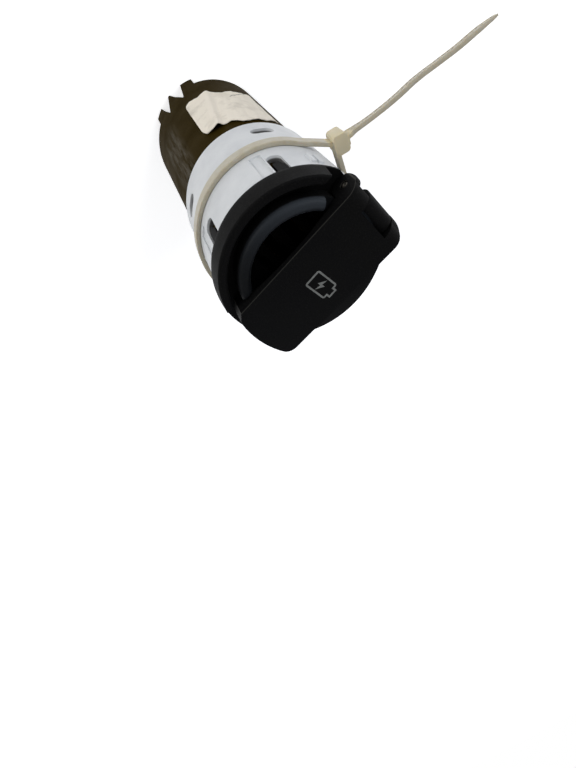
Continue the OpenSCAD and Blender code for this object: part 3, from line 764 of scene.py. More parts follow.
@dataclass
class Piece:
    """One mesh object, with the hand moves that shape it. Their sizes are millimetres."""

    thing: bpy.types.Object

    @classmethod
    def latest(cls, name: str) -> Self:
        """Takes up the object that an operator has just added.

        Args:
            name: Its new name.

        Returns:
            The piece.
        """
        thing = bpy.context.object
        thing.name = name
        thing.data.name = name
        return cls(thing)

    @classmethod
    def start(cls, name: str, primitive: Callable[..., set[str]], **sizes: object) -> Self:
        """Adds a primitive as the start of a piece.

        Args:
            name: The piece's name.
            primitive: The operator that adds it.
            **sizes: What the operator takes, in metres and radians.

        Returns:
            The piece.
        """
        bpy.ops.object.select_all(action="DESELECT")
        primitive(**sizes)
        return cls.latest(name)

    @classmethod
    def box(cls, name: str, size: Sequence[float], at: Sequence[float]) -> Self:
        """Adds a block as the start of a piece.

        Args:
            name: The piece's name.
            size: Its sides.
            at: Its middle.

        Returns:
            The piece.
        """
        add_cube = bpy.ops.mesh.primitive_cube_add
        piece = cls.start(name, add_cube, size=1, location=Vector(at) * MM)
        piece.thing.scale = Vector(size) * MM
        piece.settle()
        return piece

    @classmethod
    def join(cls, name: str, pieces: Sequence[Self]) -> Self:
        """Joins pieces into one mesh.

        Args:
            name: The name of the whole.
            pieces: Its parts.

        Returns:
            The whole.
        """
        pieces[0].take()
        for piece in pieces[1:]:
            piece.thing.select_set(True)
        bpy.ops.object.join()
        return cls.latest(name)

    def take(self) -> None:
        """Makes this the only selected object and the active one."""
        bpy.ops.object.select_all(action="DESELECT")
        self.thing.select_set(True)
        bpy.context.view_layer.objects.active = self.thing

    def settle(self) -> None:
        """Puts the object's place, turn and scale into its mesh."""
        self.take()
        bpy.ops.object.transform_apply(location=True, rotation=True, scale=True)

    @contextmanager
    def editing(self, part: Part = Part.FACES, test: Test | None = None) -> Iterator[None]:
        """Opens edit mode with nothing selected, or only what passes a test.

        Args:
            part: Whether vertices, edges or faces are selected.
            test: The test, as in choose.

        Yields:
            Nothing, while edit mode is open.
        """
        self.take()
        bpy.ops.object.mode_set(mode="EDIT")
        bpy.ops.mesh.select_mode(type=part.value[1])
        bpy.ops.mesh.select_all(action="DESELECT")
        if test:
            self.choose(part, test)
        yield
        bpy.ops.object.mode_set(mode="OBJECT")

    def choose(self, part: Part, test: Test) -> None:
        """Selects, in edit mode, what passes a test.

        Args:
            part: Whether vertices, edges or faces are looked at.
            test: Takes the middle, and the normal or an edge's run.
        """
        mesh = bmesh.from_edit_mesh(self.thing.data)
        for item in getattr(mesh, part.value[0]):
            if part is Part.FACES:
                middle, way = item.calc_center_median(), item.normal
            elif part is Part.EDGES:
                near, far = (vertex.co for vertex in item.verts)
                middle, way = (near + far) / 2, (far - near).normalized()
            else:
                middle, way = item.co, item.normal
            item.select_set(test(middle / MM, way))
        mesh.select_flush_mode()
        bmesh.update_edit_mesh(self.thing.data)

    @staticmethod
    def cut(axis: int, places: Sequence[float]) -> None:
        """Cuts the whole of the edited mesh by planes across an axis.

        Args:
            axis: 0, 1 or 2 for X, Y or Z.
            places: Where the planes cross it.
        """
        for place in places:
            bpy.ops.mesh.select_all(action="SELECT")
            bpy.ops.mesh.bisect(
                plane_co=[place * MM * (i == axis) for i in range(3)],
                plane_no=[float(i == axis) for i in range(3)],
            )

    @staticmethod
    def bevel(width: float, steps: int) -> None:
        """Bevels the selected edges."""
        bpy.ops.mesh.bevel(offset=width * MM, segments=steps, affect="EDGES")

    @staticmethod
    def inset(width: float) -> None:
        """Insets the selected faces."""
        bpy.ops.mesh.inset(thickness=width * MM)

    @staticmethod
    def pull(x: float, y: float, z: float) -> None:
        """Extrudes the selected faces."""
        way = {"value": (x * MM, y * MM, z * MM)}
        bpy.ops.mesh.extrude_region_move(TRANSFORM_OT_translate=way)

    @staticmethod
    def shift(x: float, y: float, z: float) -> None:
        """Moves what is selected."""
        bpy.ops.transform.translate(value=(x * MM, y * MM, z * MM))

    def cap(self) -> None:
        """Closes the open ends and turns every face outwards."""
        with self.editing(Part.EDGES):
            bpy.ops.mesh.select_non_manifold()
            bpy.ops.mesh.edge_face_add()
            bpy.ops.mesh.select_all(action="SELECT")
            bpy.ops.mesh.normals_make_consistent(inside=False)

    def modify(self, kind: str, **settings: object) -> None:
        """Adds a modifier and applies it.

        Args:
            kind: Its type.
            **settings: Its settings.
        """
        modifier = self.thing.modifiers.new(kind.title(), kind)
        for name, value in settings.items():
            setattr(modifier, name, value)
        self.take()
        bpy.ops.object.modifier_apply(modifier=modifier.name)

    def soften(self, radius: float, steps: int, least_angle: float) -> None:
        """Rounds the edges that are sharper than an angle.

        Args:
            radius: The bevel's width.
            steps: How many faces go round each edge.
            least_angle: The angle in degrees.
        """
        self.modify(
            "BEVEL",
            width=radius * MM,
            segments=steps,
            limit_method="ANGLE",
            angle_limit=math.radians(least_angle),
        )

    def smooth(self, degrees: float) -> None:
        """Smooths the shading where faces meet at less than an angle."""
        self.take()
        bpy.ops.object.shade_smooth_by_angle(angle=math.radians(degrees))

    def paint(self, finish: Finish) -> None:
        """Gives the piece its material and reports the piece."""
        self.thing.data.materials.clear()
        self.thing.data.materials.append(finish.material())
        LOG.info("%s: %d faces", self.thing.name, len(self.thing.data.polygons))

    def dress(
        self, finish: Finish, slot: str, node: str, body: Rides | None = Rides.SOCKET
    ) -> None:
        """Gives a new piece its finish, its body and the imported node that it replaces.

        Args:
            finish: The material it is made of.
            slot: The record's material slot.
            node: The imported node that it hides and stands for.
            body: The body it moves with, or None for a piece that is blended between two.
        """
        self.paint(finish)
        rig.slot(self.thing, slot)
        if body:
            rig.ride(self.thing, body.value)
        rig.replaces(self.thing, node)


@dataclass
class SoftenedMoulding:
    """A packed moulding whose sharp corners get the small radius that a mould leaves."""

    node: str
    finish: Finish
    slot: str
    body: Rides = Rides.SOCKET
    radius: float = 0.15
    steps: int = 2
    least_angle: float = 34.0
    flat_angle: float = 0.2

    def build(self) -> None:
        """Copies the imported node, rounds its corners and dresses it."""
        Piece(FRAME["nodes"][self.node]).take()
        bpy.ops.object.duplicate()
        piece = Piece.latest(self.node + "_moulding")
        piece.thing.parent = None
        for key in [k for k in piece.thing.keys() if k.startswith("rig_")]:
            del piece.thing[key]
        with piece.editing():
            bpy.ops.mesh.select_all(action="SELECT")
            bpy.ops.mesh.remove_doubles(threshold=MERGE * MM)
            bpy.ops.mesh.dissolve_limited(angle_limit=math.radians(self.flat_angle))
        piece.soften(self.radius, self.steps, self.least_angle)
        piece.smooth(32)
        piece.modify("WEIGHTED_NORMAL", keep_sharp=True)
        piece.dress(self.finish, self.slot, self.node, self.body)


@dataclass
class LidSpring:
    """Torsion spring: five turns of wire round the hinge pin."""

    wire: float = 0.36
    mean_r: float = 1.35
    turns: int = 5
    steps: int = 28
    hinge_y: float = 14.35
    hinge_z: float = 3.0
    start_angle: float = 100.0

    def build(self) -> None:
        """Winds the wire with a screw and lets it twist between lid and knuckle."""
        low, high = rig.box("lid_spring")
        x0 = low.x / MM + self.wire / 2
        x1 = high.x / MM - self.wire / 2
        piece = Piece.start(
            "lid_spring_coil",
            bpy.ops.mesh.primitive_circle_add,
            vertices=12,
            radius=self.wire / 2 * MM,
            fill_type="NOTHING",
            location=(0, self.mean_r * MM, 0),
        )
        piece.settle()
        piece.modify(
            "SCREW",
            axis="X",
            angle=math.radians(360 * self.turns),
            screw_offset=(x1 - x0) * MM,
            steps=self.steps * self.turns,
            render_steps=self.steps * self.turns,
            use_merge_vertices=False,
            use_normal_calculate=True,
        )
        piece.cap()
        ends = [(x * MM, self.hinge_y * MM, self.hinge_z * MM) for x in (x0, x1)]
        piece.thing.rotation_euler.x = math.radians(self.start_angle - 90)
        piece.thing.location = ends[0]
        piece.settle()
        piece.smooth(50)
        piece.dress(SPRING_STEEL, "spring_steel", "lid_spring", body=None)
        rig.blend(piece.thing, "lid", "socket", start=ends[0], end=ends[1])


@dataclass
class HingePin:
    """Steel pin with rounded ends and the small centre mark of its turning."""

    radius: float = 0.75
    end_round: float = 0.18
    mark_r: float = 0.22
    mark_depth: float = 0.12

    def build(self) -> None:
        """Turns the pin, rounds its ends and dimples them."""
        low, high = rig.box("hinge_pin")
        middle = (low + high) / 2
        piece = Piece.start(
            "hinge_pin_turned",
            bpy.ops.mesh.primitive_cylinder_add,
            vertices=40,
            radius=self.radius * MM,
            depth=high.x - low.x,
            location=middle,
            rotation=(0, math.pi / 2, 0),
        )
        piece.settle()
        with piece.editing(Part.FACES, lambda c, n: abs(n.x) > ALONG):
            Piece.inset(self.end_round)
            Piece.inset(self.radius - self.end_round - self.mark_r)
            Piece.inset(self.mark_r * 0.6)
        with piece.editing(Part.VERTS):
            for end in (low.x / MM, high.x / MM):
                for reach, push in (
                    (self.radius, self.end_round),
                    (self.mark_r * 0.5, self.mark_depth),
                ):
                    piece.choose(
                        Part.VERTS,
                        lambda c, n: abs(c.x - end) < NEAR
                        and abs((c - middle / MM).yz.length - reach) < 0.06,
                    )
                    Piece.shift(push if end < 0 else -push, 0, 0)
        piece.smooth(50)
        piece.dress(PIN_STEEL, "pin_steel", "hinge_pin")


class Knot(NamedTuple):
    """A point of a strap's course, with its twist in degrees and its scale there."""

    at: Vector
    twist: float = 0.0
    scale: float = 1.0


@dataclass
class CableTie:
    """Nylon cable tie: a serrated strap round the ring, its head with the pawl, and the tail."""

    width: float = 2.5
    thick: float = 0.9
    edge_r: float = 0.16
    z: float = -13.45
    inner_r: float = 16.35
    pitch: float = 1.0
    rail: float = 0.4
    groove: float = 0.15
    lead_angle: float = 122.0
    return_angle: float = 80.0
    loop_steps: int = 48
    head_out: float = 3.25
    head_angle: float = 97.6
    head_size: Triple = (3.8, 3.2, 3.9)
    head_turn: float = -20.0
    head_corner: float = 0.75
    lip: float = 0.3
    head_round: float = 0.22
    slot_depth: float = 0.9
    pawl_wall: float = 0.45
    pawl_depth: float = 0.25
    tail_len: float = 34.0
    tail_twist: float = -17.0
    # Across and outwards as shares of the length, then the share of the twist, and the scale.
    tail_shape: tuple[tuple[float, float, float, float], ...] = (
        (0.015, 0.059, 0.0, 1.0),
        (0.023, 0.094, 0.6, 1.0),
        (0.04, 0.15, 0.9, 1.0),
        (0.059, 0.224, 1.0, 1.0),
        (0.087, 0.362, 1.0, 1.0),
        (0.105, 0.5, 1.0, 1.0),
        (0.137, 0.632, 1.0, 1.0),
        (0.167, 0.759, 1.0, 1.0),
        (0.189, 0.888, 1.0, 0.96),
        (0.205, 0.962, 1.0, 0.7),
        (0.212, 0.994, 1.0, 0.45),
    )

    def round_ring(self, degrees: float, out: float = 0.0) -> Vector:
        """Finds a point of the strap's middle round the ring.

        Args:
            degrees: Its direction from the socket's axis.
            out: How much further out it lies.

        Returns:
            The point.
        """
        turn = math.radians(degrees)
        r = self.inner_r + self.thick / 2 + out
        return Vector((r * math.cos(turn), r * math.sin(turn), self.z))

    def loop(self, head: Vector) -> list[Knot]:
        """Lays the strap from the head's root round the ring and back into the head.

        Args:
            head: The head's middle.

        Returns:
            The strap's course.
        """
        w, d, _ = self.head_size
        root = head + Vector((-w * 0.27, -d * 0.43, 0))
        entry = head + Vector((w * 0.19, -d * 0.45, 0))
        sweep = 360 - (self.lead_angle - self.return_angle)
        ring = [
            self.round_ring(self.lead_angle + sweep * i / self.loop_steps)
            for i in range(self.loop_steps + 1)
        ]
        leave = root.lerp(self.round_ring(self.lead_angle), 0.5)
        arrive = entry.lerp(self.round_ring(self.return_angle), 0.5)
        return [Knot(at) for at in (root, leave, *ring, arrive, entry)]

    def tail(self, head: Vector) -> list[Knot]:
        """Lays the loose tail from the head outwards.

        Args:
            head: The head's middle.

        Returns:
            The tail's course, down to its tapered tip.
        """
        return [Knot(head + Vector((0.1, 0.6, 0)))] + [
            Knot(head + Vector((x, y, 0)) * self.tail_len, twist * self.tail_twist, scale)
            for x, y, twist, scale in self.tail_shape
        ]

    def strap(self, name: str, course: list[Knot]) -> Piece:
        """Models one pitch of serrated strap, repeats it and bends it along its course.

        Args:
            name: The piece's name.
            course: Where it runs.

        Returns:
            The bent strap.
        """
        length = sum((b.at - a.at).length for a, b in zip(course, course[1:]))
        count = max(2, round(length / self.pitch))
        step = length / count
        crest = step * 0.75
        inside = self.width / 2 - self.rail
        floor = self.groove - self.thick / 2
        piece = Piece.box(name, (step, self.width, self.thick), (step / 2, 0, 0))
        with piece.editing(Part.FACES, lambda c, n: abs(n.x) > ALONG):
            bpy.ops.mesh.delete(type="ONLY_FACE")
            Piece.cut(1, (-inside, inside))
            Piece.cut(0, (crest,))
        with piece.editing(Part.FACES, lambda c, n: n.z < -ALONG and abs(c.y) < inside):
            Piece.pull(0, 0, self.groove)
        with piece.editing(Part.FACES, lambda c, n: abs(n.x) > ALONG and c.z < floor):
            bpy.ops.mesh.delete(type="FACE")
        with piece.editing(
            Part.EDGES,
            lambda c, n: abs(n.y) > ALONG
            and abs(c.x - crest) < NEAR
            and abs(c.y) < inside
            and abs(c.z - floor) < NEAR,
        ):
            Piece.shift(0, 0, -self.groove * 0.9)
        piece.modify(
            "ARRAY",
            count=count,
            use_relative_offset=False,
            use_constant_offset=True,
            constant_offset_displace=(step * MM, 0, 0),
            use_merge_vertices=True,
            merge_threshold=MERGE * MM,
        )
        piece.cap()
        with piece.editing(
            Part.EDGES,
            lambda c, n: abs(n.x) > ALONG
            and abs(abs(c.y) - self.width / 2) < NEAR
            and abs(abs(c.z) - self.thick / 2) < NEAR,
        ):
            Piece.bevel(self.edge_r, 3)
        path = self.path(name + "_course", course)
        piece.modify("CURVE", object=path, deform_axis="POS_X")
        bpy.data.objects.remove(path)
        return piece

    @staticmethod
    def path(name: str, course: list[Knot]) -> bpy.types.Object:
        """Draws the open curve that a strap is bent along.

        Args:
            name: The curve's name.
            course: Its points.

        Returns:
            The curve, which is removed once the strap is bent.
        """
        curve = bpy.data.curves.new(name, "CURVE")
        curve.dimensions = "3D"
        curve.twist_mode = "Z_UP"
        curve.use_radius = True
        curve.use_stretch = False
        curve.use_deform_bounds = False
        curve.resolution_u = 6
        points = curve.splines.new("BEZIER").bezier_points
        points.add(len(course) - 1)
        for point, knot in zip(points, course):
            point.co = knot.at * MM
            point.handle_left_type = point.handle_right_type = "AUTO"
            point.tilt = math.radians(90 + knot.twist)
            point.radius = knot.scale
        return placed(name, curve)

    def head(self, at: Vector) -> Piece:
        """Models the head: a rounded block with a guide lip, the strap's slot and the pawl.

        Args:
            at: Its middle.

        Returns:
            The head in its place.
        """
        w, d, h = self.head_size
        top = d / 2 - self.lip
        piece = Piece.box("cable_tie_head", (w, d - self.lip, h), (0, -self.lip / 2, 0))
        with piece.editing(Part.EDGES, lambda c, n: abs(n.z) > ALONG):
            Piece.bevel(self.head_corner, 5)
        with piece.editing(Part.FACES, lambda c, n: n.y > ALONG and abs(c.y - top) < NEAR):
            Piece.inset(self.edge_r)
            Piece.pull(0, self.lip, 0)
            Piece.inset(self.lip)
            Piece.pull(0, -self.slot_depth, 0)
        with piece.editing(
            Part.FACES, lambda c, n: n.x > ALONG and abs(c.x - w / 2) < NEAR
        ):
            Piece.inset(self.pawl_wall)
            Piece.pull(-self.pawl_depth, 0, 0)
        piece.soften(self.head_round, 3, 40)
        piece.thing.rotation_euler.z = math.radians(self.head_turn)
        piece.thing.location = at * MM
        piece.settle()
        return piece

    def build(self) -> None:
        """Builds the strap, the tail and the head as one moulding."""
        at = self.round_ring(self.head_angle, self.head_out)
        loop = self.strap("cable_tie_loop", self.loop(at))
        tail = self.strap("cable_tie_tail", self.tail(at))
        piece = Piece.join("cable_tie_strap", [loop, tail, self.head(at)])
        piece.smooth(40)
        piece.dress(TIE_NYLON, "natural_nylon", "cable_tie")


class Fold(NamedTuple):
    """A crease along the label: its direction and width in degrees, and its height."""

    angle: float
    spread: float
    height: float


@dataclass
class PaperLabel:
    """Torn paper label that has lifted into a crease along the barrel."""

    width: float = 17.6
    length: float = 28.1
    front: float = 31.7
    middle_angle: float = 140.0
    thick: float = 0.14
    barrel_r: float = 15.53
    barrel_front: float = 28.0
    barrel_taper: float = 0.5 / 43.5
    corner: tuple[float, float] = (0.13, 0.075)
    drift: float = 8.4
    curl: float = 0.16
    curl_share: float = 0.14
    folds: tuple[Fold, ...] = (
        Fold(158.3, 3.2, 0.9),
        Fold(139.0, 5.0, 0.22),
        Fold(128.0, 5.0, 0.12),
        Fold(176.0, 3.0, 0.16),
    )
    # The torn edges: shares of the half width, from the low edge on, with shares of the length.
    front_edge: tuple[tuple[float, float], ...] = (
        (-0.955, 0.096),
        (-0.35, 0.032),
        (-0.057, 0.0),
        (0.307, 0.082),
        (0.72, 0.07),
        (0.9, 0.1),
        (1.0, 0.16),
    )
    rear_edge: tuple[tuple[float, float], ...] = (
        (-0.955, 0.915),
        (-0.76, 0.9),
        (-0.18, 0.865),
        (0.375, 0.95),
        (0.72, 0.955),
        (1.0, 0.945),
    )

    @staticmethod
    def along(edge: Sequence[tuple[float, float]], u: float) -> float:
        """Reads a torn edge's place at one share of the width.

        Args:
            edge: The torn edge.
            u: Where to read it.

        Returns:
            The share of the length, eased between the points.
        """
        for (u0, v0), (u1, v1) in zip(edge, edge[1:]):
            if u <= u1:
                t = min(1.0, max(0.0, (u - u0) / (u1 - u0)))
                return v0 + (v1 - v0) * t * t * (3 - 2 * t)
        return edge[-1][1]

    def lift(self, angle: float, share: float) -> float:
        """Works out how far the paper has come away from the barrel.

        Args:
            angle: Direction round the barrel in degrees.
            share: From 0 at the label's front to 1 at its rear.

        Returns:
            The gap, which is 0 where the paper still sticks.
        """
        gap = 0.0
        for at, spread, height in self.folds:
            off = angle - at + self.drift * share - 0.8 * math.sin(share * 3.4 + at)
            spread *= 2.0 if off > 0 else 0.8
            gap += height * math.exp(-((off / spread) ** 2)) * (1.05 - 0.45 * share)
        gap += 0.05 * math.sin(angle * 0.9 + share * 7) * math.sin(share * 11 + angle * 0.3)
        end = max(0.0, abs(share - 0.5) * 2 - (1 - self.curl_share)) / self.curl_share
        gap += self.curl * end * (0.6 + 0.4 * math.sin(angle * 0.35))
        return max(0.0, gap)

    def place(self, across: float, share: float) -> Vector:
        """Puts one point of the flat sheet round the barrel.

        Args:
            across: From 0 at the label's low edge to 1 at its high one.
            share: From 0 at its front to 1 at its rear.

        Returns:
            The point, lifted where the paper has come away.
        """
        low_edge = self.front_edge[0][0]
        u = low_edge + across * (1 - low_edge)
        reach, cut = self.corner
        e = max(0.0, (u - 1 + reach) / reach)
        trim = cut * (1 - math.sqrt(max(0.0, 1 - e * e)))
        v0 = self.along(self.front_edge, u) + trim
        v1 = self.along(self.rear_edge, u) - trim
        z = -(self.front + (v0 + (v1 - v0) * share) * self.length)
        r = self.barrel_r + self.barrel_taper * (-z - self.barrel_front)
        angle = self.middle_angle + math.degrees(u * self.width / 2 / r)
        r += self.lift(angle, share)
        turn = math.radians(angle)
        return Vector((r * math.cos(turn), r * math.sin(turn), z))

    def build(self) -> None:
        """Cuts the sheet, creases it, wraps it round the barrel and gives it its thickness."""
        grid = {"x_subdivisions": 90, "y_subdivisions": 96}
        piece = Piece.start("label_sheet", bpy.ops.mesh.primitive_grid_add, size=2, **grid)
        mesh = piece.thing.data
        for vertex in mesh.vertices:
            vertex.co = self.place((vertex.co.x + 1) / 2, (1 - vertex.co.y) / 2) * MM
        with piece.editing():
            bpy.ops.mesh.select_all(action="SELECT")
            bpy.ops.mesh.normals_make_consistent(inside=False)
        face = mesh.polygons[len(mesh.polygons) // 2]
        if face.normal.xy.dot(face.center.xy) < 0:
            with piece.editing():
                bpy.ops.mesh.select_all(action="SELECT")
                bpy.ops.mesh.flip_normals()
        piece.modify("SOLIDIFY", thickness=self.thick * MM, offset=1.0, use_rim=True)
        piece.smooth(40)
        piece.dress(LABEL_PAPER, "label_paper", "label")


@dataclass
class ChargingPort:
    """One charging port: a folded sheet shell with spring fingers, a tongue and four contacts."""

    word: str
    sheet: float = 0.3
    fold_r: float = 0.55
    finger_x: tuple[float, float] = (2.4, 4.2)
    # Behind the port's front: where the fingers start and end, between two lines of the sheet.
    finger_z: tuple[float, float] = (2.2, 7.4)
    lines_z: tuple[float, float] = (0.8, 8.2)
    finger_rim: float = 0.28
    finger_press: float = 0.22
    contacts_count: int = 4
    contact_pitch: float = 2.33
    contact_size: tuple[float, float] = (0.9, 0.2)
    contact_round: float = 0.07
    contact_rim: float = 0.06

    def shell(self) -> None:
        """Folds the shell from sheet and presses its spring fingers."""
        low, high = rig.box(f"usb_shell_{self.word}")
        front = high.z / MM
        x0, x1 = self.finger_x
        z0, z1 = self.finger_z
        name = f"port_{self.word}_shell"
        piece = Piece.box(name, (high - low) / MM, (high + low) / 2 / MM)
        with piece.editing(Part.FACES, lambda c, n: abs(n.z) > ALONG):
            bpy.ops.mesh.delete(type="FACE")
        with piece.editing(Part.EDGES, lambda c, n: abs(n.z) > ALONG):
            Piece.bevel(self.fold_r, 4)
        with piece.editing():
            Piece.cut(2, [front - z for z in (self.lines_z[0], z0, z1, self.lines_z[1])])
            Piece.cut(0, (-x1, -x0, x0, x1))
        with piece.editing(
            Part.FACES,
            lambda c, n: abs(n.y) > ALONG and x0 < abs(c.x) < x1 and z0 < front - c.z < z1,
        ):
            Piece.inset(self.finger_rim)
            for way in (-1, 1):
                piece.choose(
                    Part.FACES,
                    lambda c, n: n.y * way > ALONG
                    and abs(abs(c.x) - (x0 + x1) / 2) < NEAR
                    and abs(front - c.z - (z0 + z1) / 2) < NEAR,
                )
                Piece.shift(0, -way * self.finger_press, 0)
        piece.modify("SOLIDIFY", thickness=self.sheet * MM, offset=-1.0, use_even_offset=True)
        piece.smooth(35)
        piece.dress(SHELL_STEEL, "port_shell", f"usb_shell_{self.word}")

    def contacts(self) -> None:
        """Models the contact strips with their long edges rounded."""
        low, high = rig.box(f"usb_contacts_{self.word}")
        strips = []
        for i in range(self.contacts_count):
            x = (i - (self.contacts_count - 1) / 2) * self.contact_pitch
            y, z = ((low[axis] + high[axis]) / 2 / MM for axis in (1, 2))
            size = (*self.contact_size, (high.z - low.z) / MM)
            strip = Piece.box(f"contact_{self.word}_{i}", size, (x, y, z))
            with strip.editing(Part.EDGES, lambda c, n: abs(n.z) > ALONG):
                Piece.bevel(self.contact_round, 2)
            with strip.editing(Part.FACES, lambda c, n: n.z > ALONG):
                Piece.inset(self.contact_rim)
            strips.append(strip)
        piece = Piece.join(f"port_{self.word}_contacts", strips)
        piece.smooth(40)
        piece.dress(CONTACT_GOLD, "contact_gold", f"usb_contacts_{self.word}")

    def build(self) -> None:
        """Builds the shell, the tongue with its softened edges, and the contacts."""
        self.shell()
        tongue = f"usb_tongue_{self.word}"
        SoftenedMoulding(tongue, PORT_PLASTIC, "tongue_plastic", radius=0.2).build()
        self.contacts()


@dataclass
class Terminal:
    """One blade terminal with a coined lead-in at its tip."""

    word: str
    tip_scale: Triple = (0.6, 0.35, 1.0)
    lead_in: float = 0.9
    edge_r: float = 0.06

    def build(self) -> None:
        """Coins the blade's tip and breaks its long edges."""
        low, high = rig.box(f"{self.word}_terminal")
        size, at = (high - low) / MM, (high + low) / 2 / MM
        piece = Piece.box(f"{self.word}_blade", size, at)
        with piece.editing(Part.FACES, lambda c, n: n.z < -ALONG):
            Piece.pull(0, 0, 0)
            bpy.ops.transform.resize(value=self.tip_scale)
        with piece.editing(
            Part.VERTS,
            lambda c, n: abs(c.z - low.z / MM) < NEAR and abs(c.x - at.x) > size.x * 0.45,
        ):
            Piece.shift(0, 0, self.lead_in)
        piece.soften(self.edge_r, 2, 35)
        piece.smooth(35)
        piece.dress(TERMINAL_BRASS, "terminal_brass", f"{self.word}_terminal")


@dataclass
class PackedParts:
    """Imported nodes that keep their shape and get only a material."""

    finishes: dict[str, Finish]

    def build(self) -> None:
        """Paints each of them."""
        for node, finish in self.finishes.items():
            Piece(FRAME["nodes"][node]).paint(finish)


def placed(name: str, data: bpy.types.ID) -> bpy.types.Object:
    """Adds an object that is no mesh to the scene.

    Args:
        name: Its name.
        data: The curve, camera or light that it holds.

    Returns:
        The object.
    """
    thing = bpy.data.objects.new(name, data)
    bpy.context.scene.collection.objects.link(thing)
    return thing


class Lamp(NamedTuple):
    """A square lamp: its way from the socket, distance and side, its watts and its colour."""

    name: str
    way: Triple
    away: float
    side: float
    power: float
    colour: str


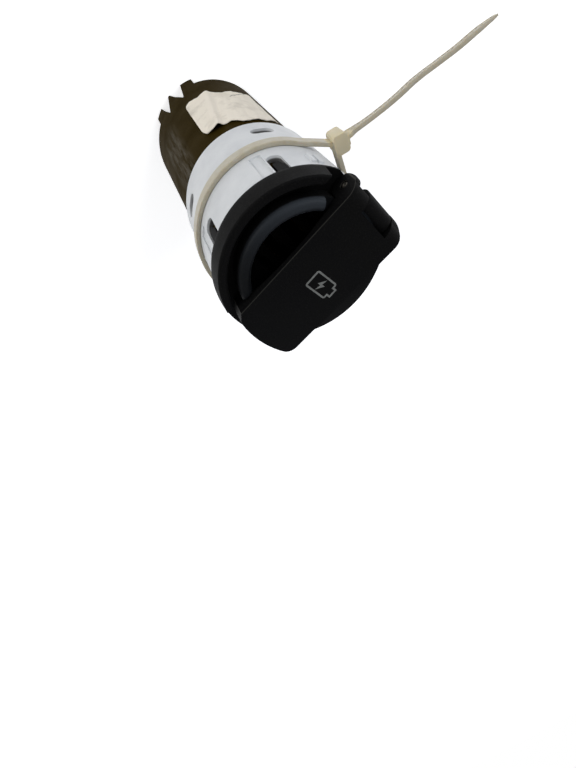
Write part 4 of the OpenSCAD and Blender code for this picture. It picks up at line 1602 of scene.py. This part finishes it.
@dataclass
class Studio:
    """Pale floor, soft lamps and the photograph's camera."""

    eye: Triple = (-52.37, 10.15, 76.59)
    right: Triple = (0.6549, 0.6812, 0.3271)
    down: Triple = (0.3692, -0.6661, 0.6481)
    ahead: Triple = (0.6594, -0.3037, -0.6877)
    lens: float = 22.5
    sensor: float = 36.0
    clip: tuple[float, float] = (2.0, 20000.0)
    room: str = "#f2f2f3"
    room_light: float = 0.22
    paper: str = "#f4f4f4"
    floor_z: float = -76.7
    floor_side: float = 8000.0
    # The floor's own light grows from near the socket to the white room: how far, and how bright.
    fade_r: tuple[float, float] = (30.0, 250.0)
    fade_light: tuple[float, float] = (0.62, 1.0)
    lamps: tuple[Lamp, ...] = (
        Lamp("window", (-0.9, -0.3, 0.3), 420, 320, 0.95, "#fbfaf9"),
        Lamp("far window", (0.82, -0.55, 0.2), 380, 160, 0.35, "#dfe9ff"),
        Lamp("ceiling", (-0.15, 0.85, 0.6), 480, 300, 1.0, "#f6f7fb"),
    )
    lamps_z: float = -30.0

    def camera(self) -> None:
        """Places the camera where the photograph was taken."""
        data = bpy.data.cameras.new("camera")
        data.lens = self.lens
        data.sensor_width = self.sensor
        data.clip_start, data.clip_end = (end * MM for end in self.clip)
        camera = placed("camera", data)
        turn = Matrix((self.right, -Vector(self.down), -Vector(self.ahead))).transposed()
        camera.matrix_world = Matrix.Translation(Vector(self.eye) * MM) @ turn.to_4x4()
        bpy.context.scene.camera = camera

    def hang(self, lamp: Lamp) -> None:
        """Hangs a lamp that faces the socket.

        Args:
            lamp: Its place, size and light.
        """
        data = bpy.data.lights.new(lamp.name, "AREA")
        data.energy = lamp.power
        data.size = lamp.side * MM
        data.color = linear(lamp.colour)[:3]
        at = Vector(lamp.way).normalized() * lamp.away * MM
        thing = placed(lamp.name, data)
        thing.location = at + Vector((0, 0, self.lamps_z * MM))
        thing.rotation_euler = (-at).to_track_quat("-Z", "Y").to_euler()

    @staticmethod
    def shown(tree: bpy.types.NodeTree) -> bpy.types.Node:
        """Finds the rays that see the background: from the camera, off a gloss or through glass.

        Args:
            tree: The node tree of the world or the floor.

        Returns:
            A node that gives 1 for such a ray, and 0 for one that only brings light.
        """
        path = add(tree, "LightPath")
        rays = path.outputs["Is Camera Ray"]
        for kind in ("Is Glossy Ray", "Is Transmission Ray"):
            rays = add(tree, "Math", rays, path.outputs[kind], operation="MAXIMUM")
        return rays

    def world(self) -> None:
        """Lights the room evenly and shows it white behind the floor."""
        world = bpy.data.worlds.new("room")
        bpy.context.scene.world = world
        tree = bare_tree(world)
        room = add(tree, "Background", Color=self.room, Strength=self.room_light)
        white = add(tree, "Background", Color=WHITE, Strength=1.0)
        mix = add(tree, "MixShader", self.shown(tree), room, white)
        add(tree, "OutputWorld", Surface=mix)

    def floor(self) -> None:
        """Lays the pale floor, which keeps the shadow and turns into the white room."""
        floor = Piece.start(
            "studio_floor",
            bpy.ops.mesh.primitive_plane_add,
            size=self.floor_side * MM,
            location=(0, 0, self.floor_z * MM),
        ).thing
        material = bpy.data.materials.new("Matt white paper floor")
        tree = bare_tree(material)
        paper = add(tree, "BsdfDiffuse", Color=self.paper)
        place = add(tree, "TexCoord").outputs["Object"]
        away = add(tree, "VectorMath", place, operation="LENGTH")
        ends = [r * MM for r in self.fade_r]
        lift = add(
            tree, "MapRange", away, *ends, *self.fade_light, interpolation_type="SMOOTHSTEP"
        )
        strength = add(tree, "Math", self.shown(tree), lift, operation="MULTIPLY")
        white = add(tree, "Emission", Color=WHITE, Strength=strength)
        add(tree, "OutputMaterial", Surface=add(tree, "AddShader", paper, white))
        floor.data.materials.append(material)
        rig.stage(floor)

    def build(self) -> None:
        """Sets up the floor, the room, the lamps and the camera."""
        bpy.context.scene.view_settings.view_transform = "Standard"
        self.floor()
        self.world()
        for lamp in self.lamps:
            self.hang(lamp)
        self.camera()


def main() -> None:
    """Builds the studio and every sub-assembly of the socket in order."""
    logging.basicConfig(level=logging.INFO, format="%(name)s: %(message)s")
    electronics = {
        "charger_board": BOARD_MASK,
        "inductor": FERRITE,
        "input_capacitor": SLEEVE,
        "output_capacitor": SLEEVE,
        "control_chip": CHIP_EPOXY,
        "chip_parts": CHIP_CERAMIC,
    }
    for assembly in (
        Studio(),
        SoftenedMoulding("bezel", BEZEL_ABS, "black_trim", radius=0.16),
        SoftenedMoulding("lid", LID_ABS, "black_trim", Rides.LID, radius=0.22, steps=3),
        SoftenedMoulding("retaining_ring", WHITE_POM, "white_ring", radius=0.12),
        SoftenedMoulding("housing", DARK_NYLON, "housing_plastic", radius=0.2),
        SoftenedMoulding("port_face", PORT_PLASTIC, "port_plastic", radius=0.12),
        SoftenedMoulding("connector_block", CONNECTOR_PBT, "connector_plastic"),
        PackedParts({"lid_icon": ICON_INK}),
        HingePin(),
        LidSpring(),
        PaperLabel(),
        CableTie(),
        ChargingPort("upper"),
        ChargingPort("lower"),
        Terminal("power"),
        Terminal("ground"),
        PackedParts(electronics),
    ):
        assembly.build()
    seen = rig.bounds()
    sizes = {
        "cad": [list(corner) for corner in CAD_BOX],
        "visual": [list(corner) for corner in seen],
    }
    with open("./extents.json", "w", encoding="utf-8") as out:
        json.dump(sizes, out)
    LOG.info("socket dressed")


if __name__ == "__main__":
    main()
